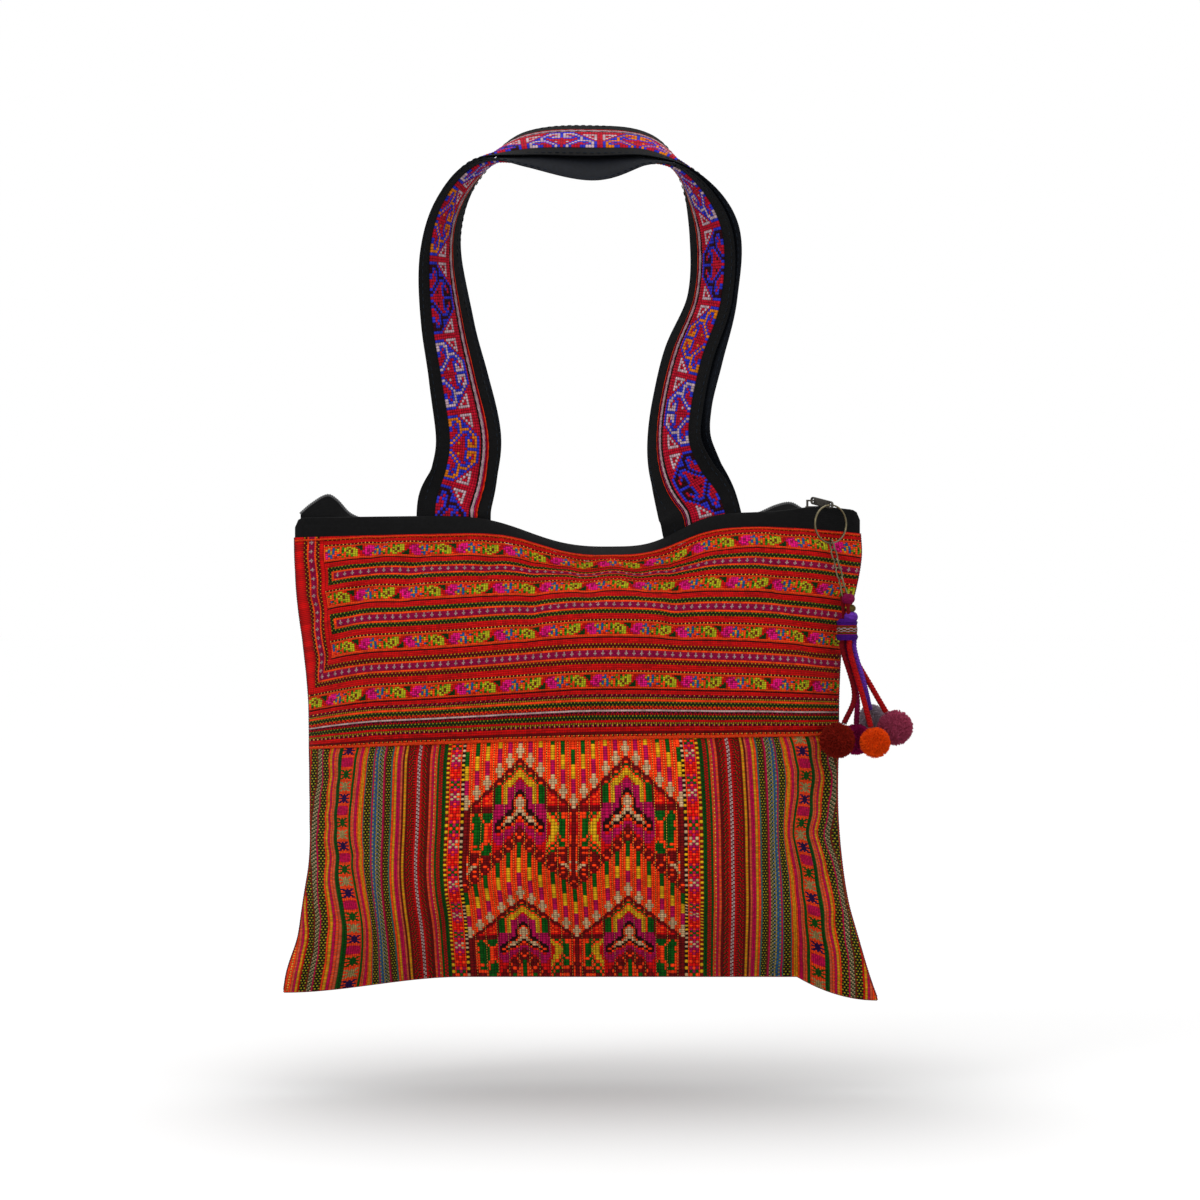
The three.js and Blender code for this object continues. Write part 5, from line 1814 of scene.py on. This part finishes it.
# %% Tassel head
HEAD_X, HEAD_Y, HEAD_TOP, HEAD_BOTTOM, HEAD_WAIST = 168.0, -16.2, -288.0, -301.5, 6.2
HEAD_SWELL = [(0.0, 0.0), (0.15, 0.8), (0.3, 0.0), (0.5, 0.4), (0.7, 0.0), (0.85, 0.5), (1.0, -1.5)]
HEAD_RINGS, HEAD_SIDES = 54, 36
WINDING, WINDINGS = 0.16, 20
BRAID_FROM, BRAID_SPAN = 0.26, 0.44     # where up the head its braid is, as shares of its height
LOOP_WIDTH, LOOP_RADIUS = 7.2, 1.3
HEAD_BRAID = ["iiii", "gggg", "iiii", "ggPP", "PPgg", "iiii", "ggPP", "PPgg", "iiii", "gggg", "iiii"]


def head_piece():
    share = np.linspace(0, 1, HEAD_RINGS)
    heights, swells = zip(*HEAD_SWELL)
    radius = HEAD_WAIST + np.interp(share, heights, swells) + WINDING * np.cos(share * 2 * math.pi * WINDINGS)
    height = mix(HEAD_BOTTOM, HEAD_TOP, share)
    path = points_at(HEAD_X, HEAD_Y, height)
    letters = []
    for ring in range(HEAD_RINGS - 1):
        at = (ring / HEAD_RINGS - BRAID_FROM) / BRAID_SPAN
        dashes = HEAD_BRAID[int(at * len(HEAD_BRAID))] if 0 <= at < 1 else "u"
        letters.append([dashes[side % len(dashes)] for side in range(HEAD_SIDES)])
    return tube_piece("tassel_head_binding", round_rings(path, radius, HEAD_SIDES), np.array(letters))


def head_loop():
    across, place = link_axes(LINK_COUNT - 1)
    hook = place + CHAIN_WAY * (link_reach - LINK_WIRE - LOOP_RADIUS)
    foot = np.array([HEAD_X, HEAD_Y, HEAD_TOP - 2])
    way = unit(foot - hook)
    side = unit(np.cross(across, way))
    path = oval(side, way, (hook + foot) / 2, np.linalg.norm(foot - hook) + 2, LOOP_WIDTH, 1.0, 40)
    return loop_piece("head_loop", path, LOOP_RADIUS, 8, "h")


def bead(name, place, radius, letter):
    """A slightly flattened ball."""
    share = np.linspace(-1, 1, 11)
    path = np.array(place) + share[:, None] * UP * radius * 0.8
    reach = radius * np.sqrt(np.maximum(1 - (share * 0.92) ** 2, 0))
    return tube_piece(name, round_rings(path, reach, 16), letter)


head = join([
    head_piece(), head_loop(), bead("bead_pink", (168.6, -18.0, -275.5), 4.2, "H"),
    bead("bead_olive", (170.4, -17.0, -281.5), 3.0, "j"),
    bead("violet_knot", (170.4, -16.4, -287.0), 4.4, "I"),
], "tassel_head_bound")
finish_piece(head, "charm", "tassel_binding", embroidery, "tassel_head")

# %% Table of the cords
Strand = namedtuple("Strand", "name head bend ball radius cord wool slot_cord slot_wool")
TASSEL = [
    Strand("dark_red", (-3.1, -1.6), (172.4, -19.6, -337), (161.3, -25.0, -364.5), 11.4, "hhh", "1",
           "cord_maroon", "wool_dark_red"),
    Strand("magenta", (-1.6, 3.6), (174.4, -11.5, -337), (174.5, -4.6, -364.5), 10.0, "HHH", "2",
           "cord_magenta", "wool_magenta"),
    Strand("orange", (1.2, -4.0), (177.4, -23.2, -337), (185.0, -24.5, -365.8), 9.8, "iii", "3",
           "cord_red", "wool_orange"),
    Strand("mauve", (2.2, 4.6), (184.0, -13.4, -332), (198.8, -9.6, -357.0), 11.4, "iii", "4",
           "cord_red", "wool_mauve"),
    Strand("violet", (4.3, -0.6), (178.8, -16.0, -330), (185.2, 7.2, -351.5), 9.0, "III", "5",
           "cord_purple", "wool_violet"),
]
CORD_RADIUS, CORD_STRAIGHT, CORD_CLEAR, CORD_INSIDE = 1.9, 5.7, 0.3, 0.8
STRAND_RADIUS, STRAND_TURN, STRAND_LOBE, STRAND_STEP = 0.92 * CORD_RADIUS, 6.0, 0.12, 0.7
WOOL_ENDS, WOOL_LEAN, WOOL_ROOT, WOOL_TIP = 2300, 0.16, 0.62, 0.62
CORE_SHARE = 0.8
print("cords:", [row.name for row in TASSEL])

# %% Ways of the cords


def smooth_through(points, count):
    """Centripetal curve through a few points."""
    points = [np.array(point, float) for point in points]
    points = [2 * points[0] - points[1]] + points + [2 * points[-1] - points[-2]]
    line = []
    for p0, p1, p2, p3 in zip(points, points[1:], points[2:], points[3:]):
        d0, d1, d2 = [np.linalg.norm(b - a) ** 0.5 for a, b in ((p0, p1), (p1, p2), (p2, p3))]
        leave = ((p1 - p0) / d0 - (p2 - p0) / (d0 + d1) + (p2 - p1) / d1) * d1
        arrive = ((p2 - p1) / d1 - (p3 - p1) / (d1 + d2) + (p3 - p2) / d2) * d1
        t = np.linspace(0, 1, count, endpoint=False)[:, None]
        line.append((2 * t ** 3 - 3 * t ** 2 + 1) * p1 + (t ** 3 - 2 * t ** 2 + t) * leave
                    + (3 * t ** 2 - 2 * t ** 3) * p2 + (t ** 3 - t ** 2) * arrive)
    return np.concatenate(line + [points[-2][None, :]])


def cord_path(row):
    """Middle line of a cord: out of the head, over its bend and to its pompom."""
    centre, bend = np.array(row.ball), np.array(row.bend, float)
    start = np.array([HEAD_X + row.head[0], HEAD_Y + row.head[1], HEAD_BOTTOM + CORD_INSIDE])
    end = centre + unit(bend - centre) * (row.radius + CORD_CLEAR)
    return smooth_through([start, start - UP * CORD_STRAIGHT, bend, end], 30)


# %% Pompoms on their cords


def pompom(row):
    """The wool ends of a pompom, each a thin spike, as one mesh."""
    ways = unit(draws.normal(size=(WOOL_ENDS, 3)))
    leans = unit(ways + draws.normal(size=ways.shape) * WOOL_LEAN)
    reach = row.radius * (0.93 + 0.1 * draws.random(WOOL_ENDS) - 0.05 * draws.random(WOOL_ENDS) ** 4)
    thick = 0.36 + 0.16 * draws.random(WOOL_ENDS)
    points, faces = [], []
    for way, lean, far, wide in zip(ways, leans, reach, thick):
        across = unit(np.cross(way, (0.31, 0.83, 0.47)))
        over = np.cross(way, across)
        base = len(points)
        root = way * row.radius * WOOL_ROOT
        tip = root + lean * (far - row.radius * WOOL_ROOT)
        for end, width in ((root, wide), (tip, wide * WOOL_TIP)):
            for angle in (0.0, 2.1, 4.2):
                off = width * (math.cos(angle) * across + math.sin(angle) * over)
                points.append(np.array(row.ball) + end + off)
        faces += [(base, base + 1, base + 4, base + 3), (base + 1, base + 2, base + 5, base + 4),
                  (base + 2, base, base + 3, base + 5), (base + 3, base + 4, base + 5)]
    return joined_piece(f"pompom_{row.name}_wool", points, faces, [row.wool] * len(faces))


def pompom_core(row):
    """The ball under the wool ends, so that no light comes through."""
    share = np.linspace(-1, 1, 15)
    path = np.array(row.ball) + share[:, None] * UP * row.radius * CORE_SHARE
    reach = row.radius * CORE_SHARE * np.sqrt(np.maximum(1 - share ** 2, 1e-4))
    return tube_piece("core", round_rings(path, reach, 20), row.wool)


wool = embroidery_finish("wool", 0.2 * MM, 0.0)
wool.set("Specular IOR Level", 0.05)
for row in TASSEL:
    ball = join([pompom(row), pompom_core(row)], f"pompom_{row.name}_wool")
    finish_piece(ball, "charm", row.slot_wool, wool, f"pompom_{row.name}")
    path = cord_path(row)
    length = distances(path)[-1]
    rings = twisted(even_steps(path, STRAND_STEP), STRAND_RADIUS, STRAND_TURN, lobe_height=STRAND_LOBE)
    piece = tube_piece(f"cord_{row.name}_twist", rings, row.cord)
    finish_piece(piece, "charm", row.slot_cord, embroidery, f"cord_{row.name}")
    tuple(path[0] * MM)
    length * MM
    [tuple(point * MM) for point in path[::3]] + [tuple(path[-1] * MM)]
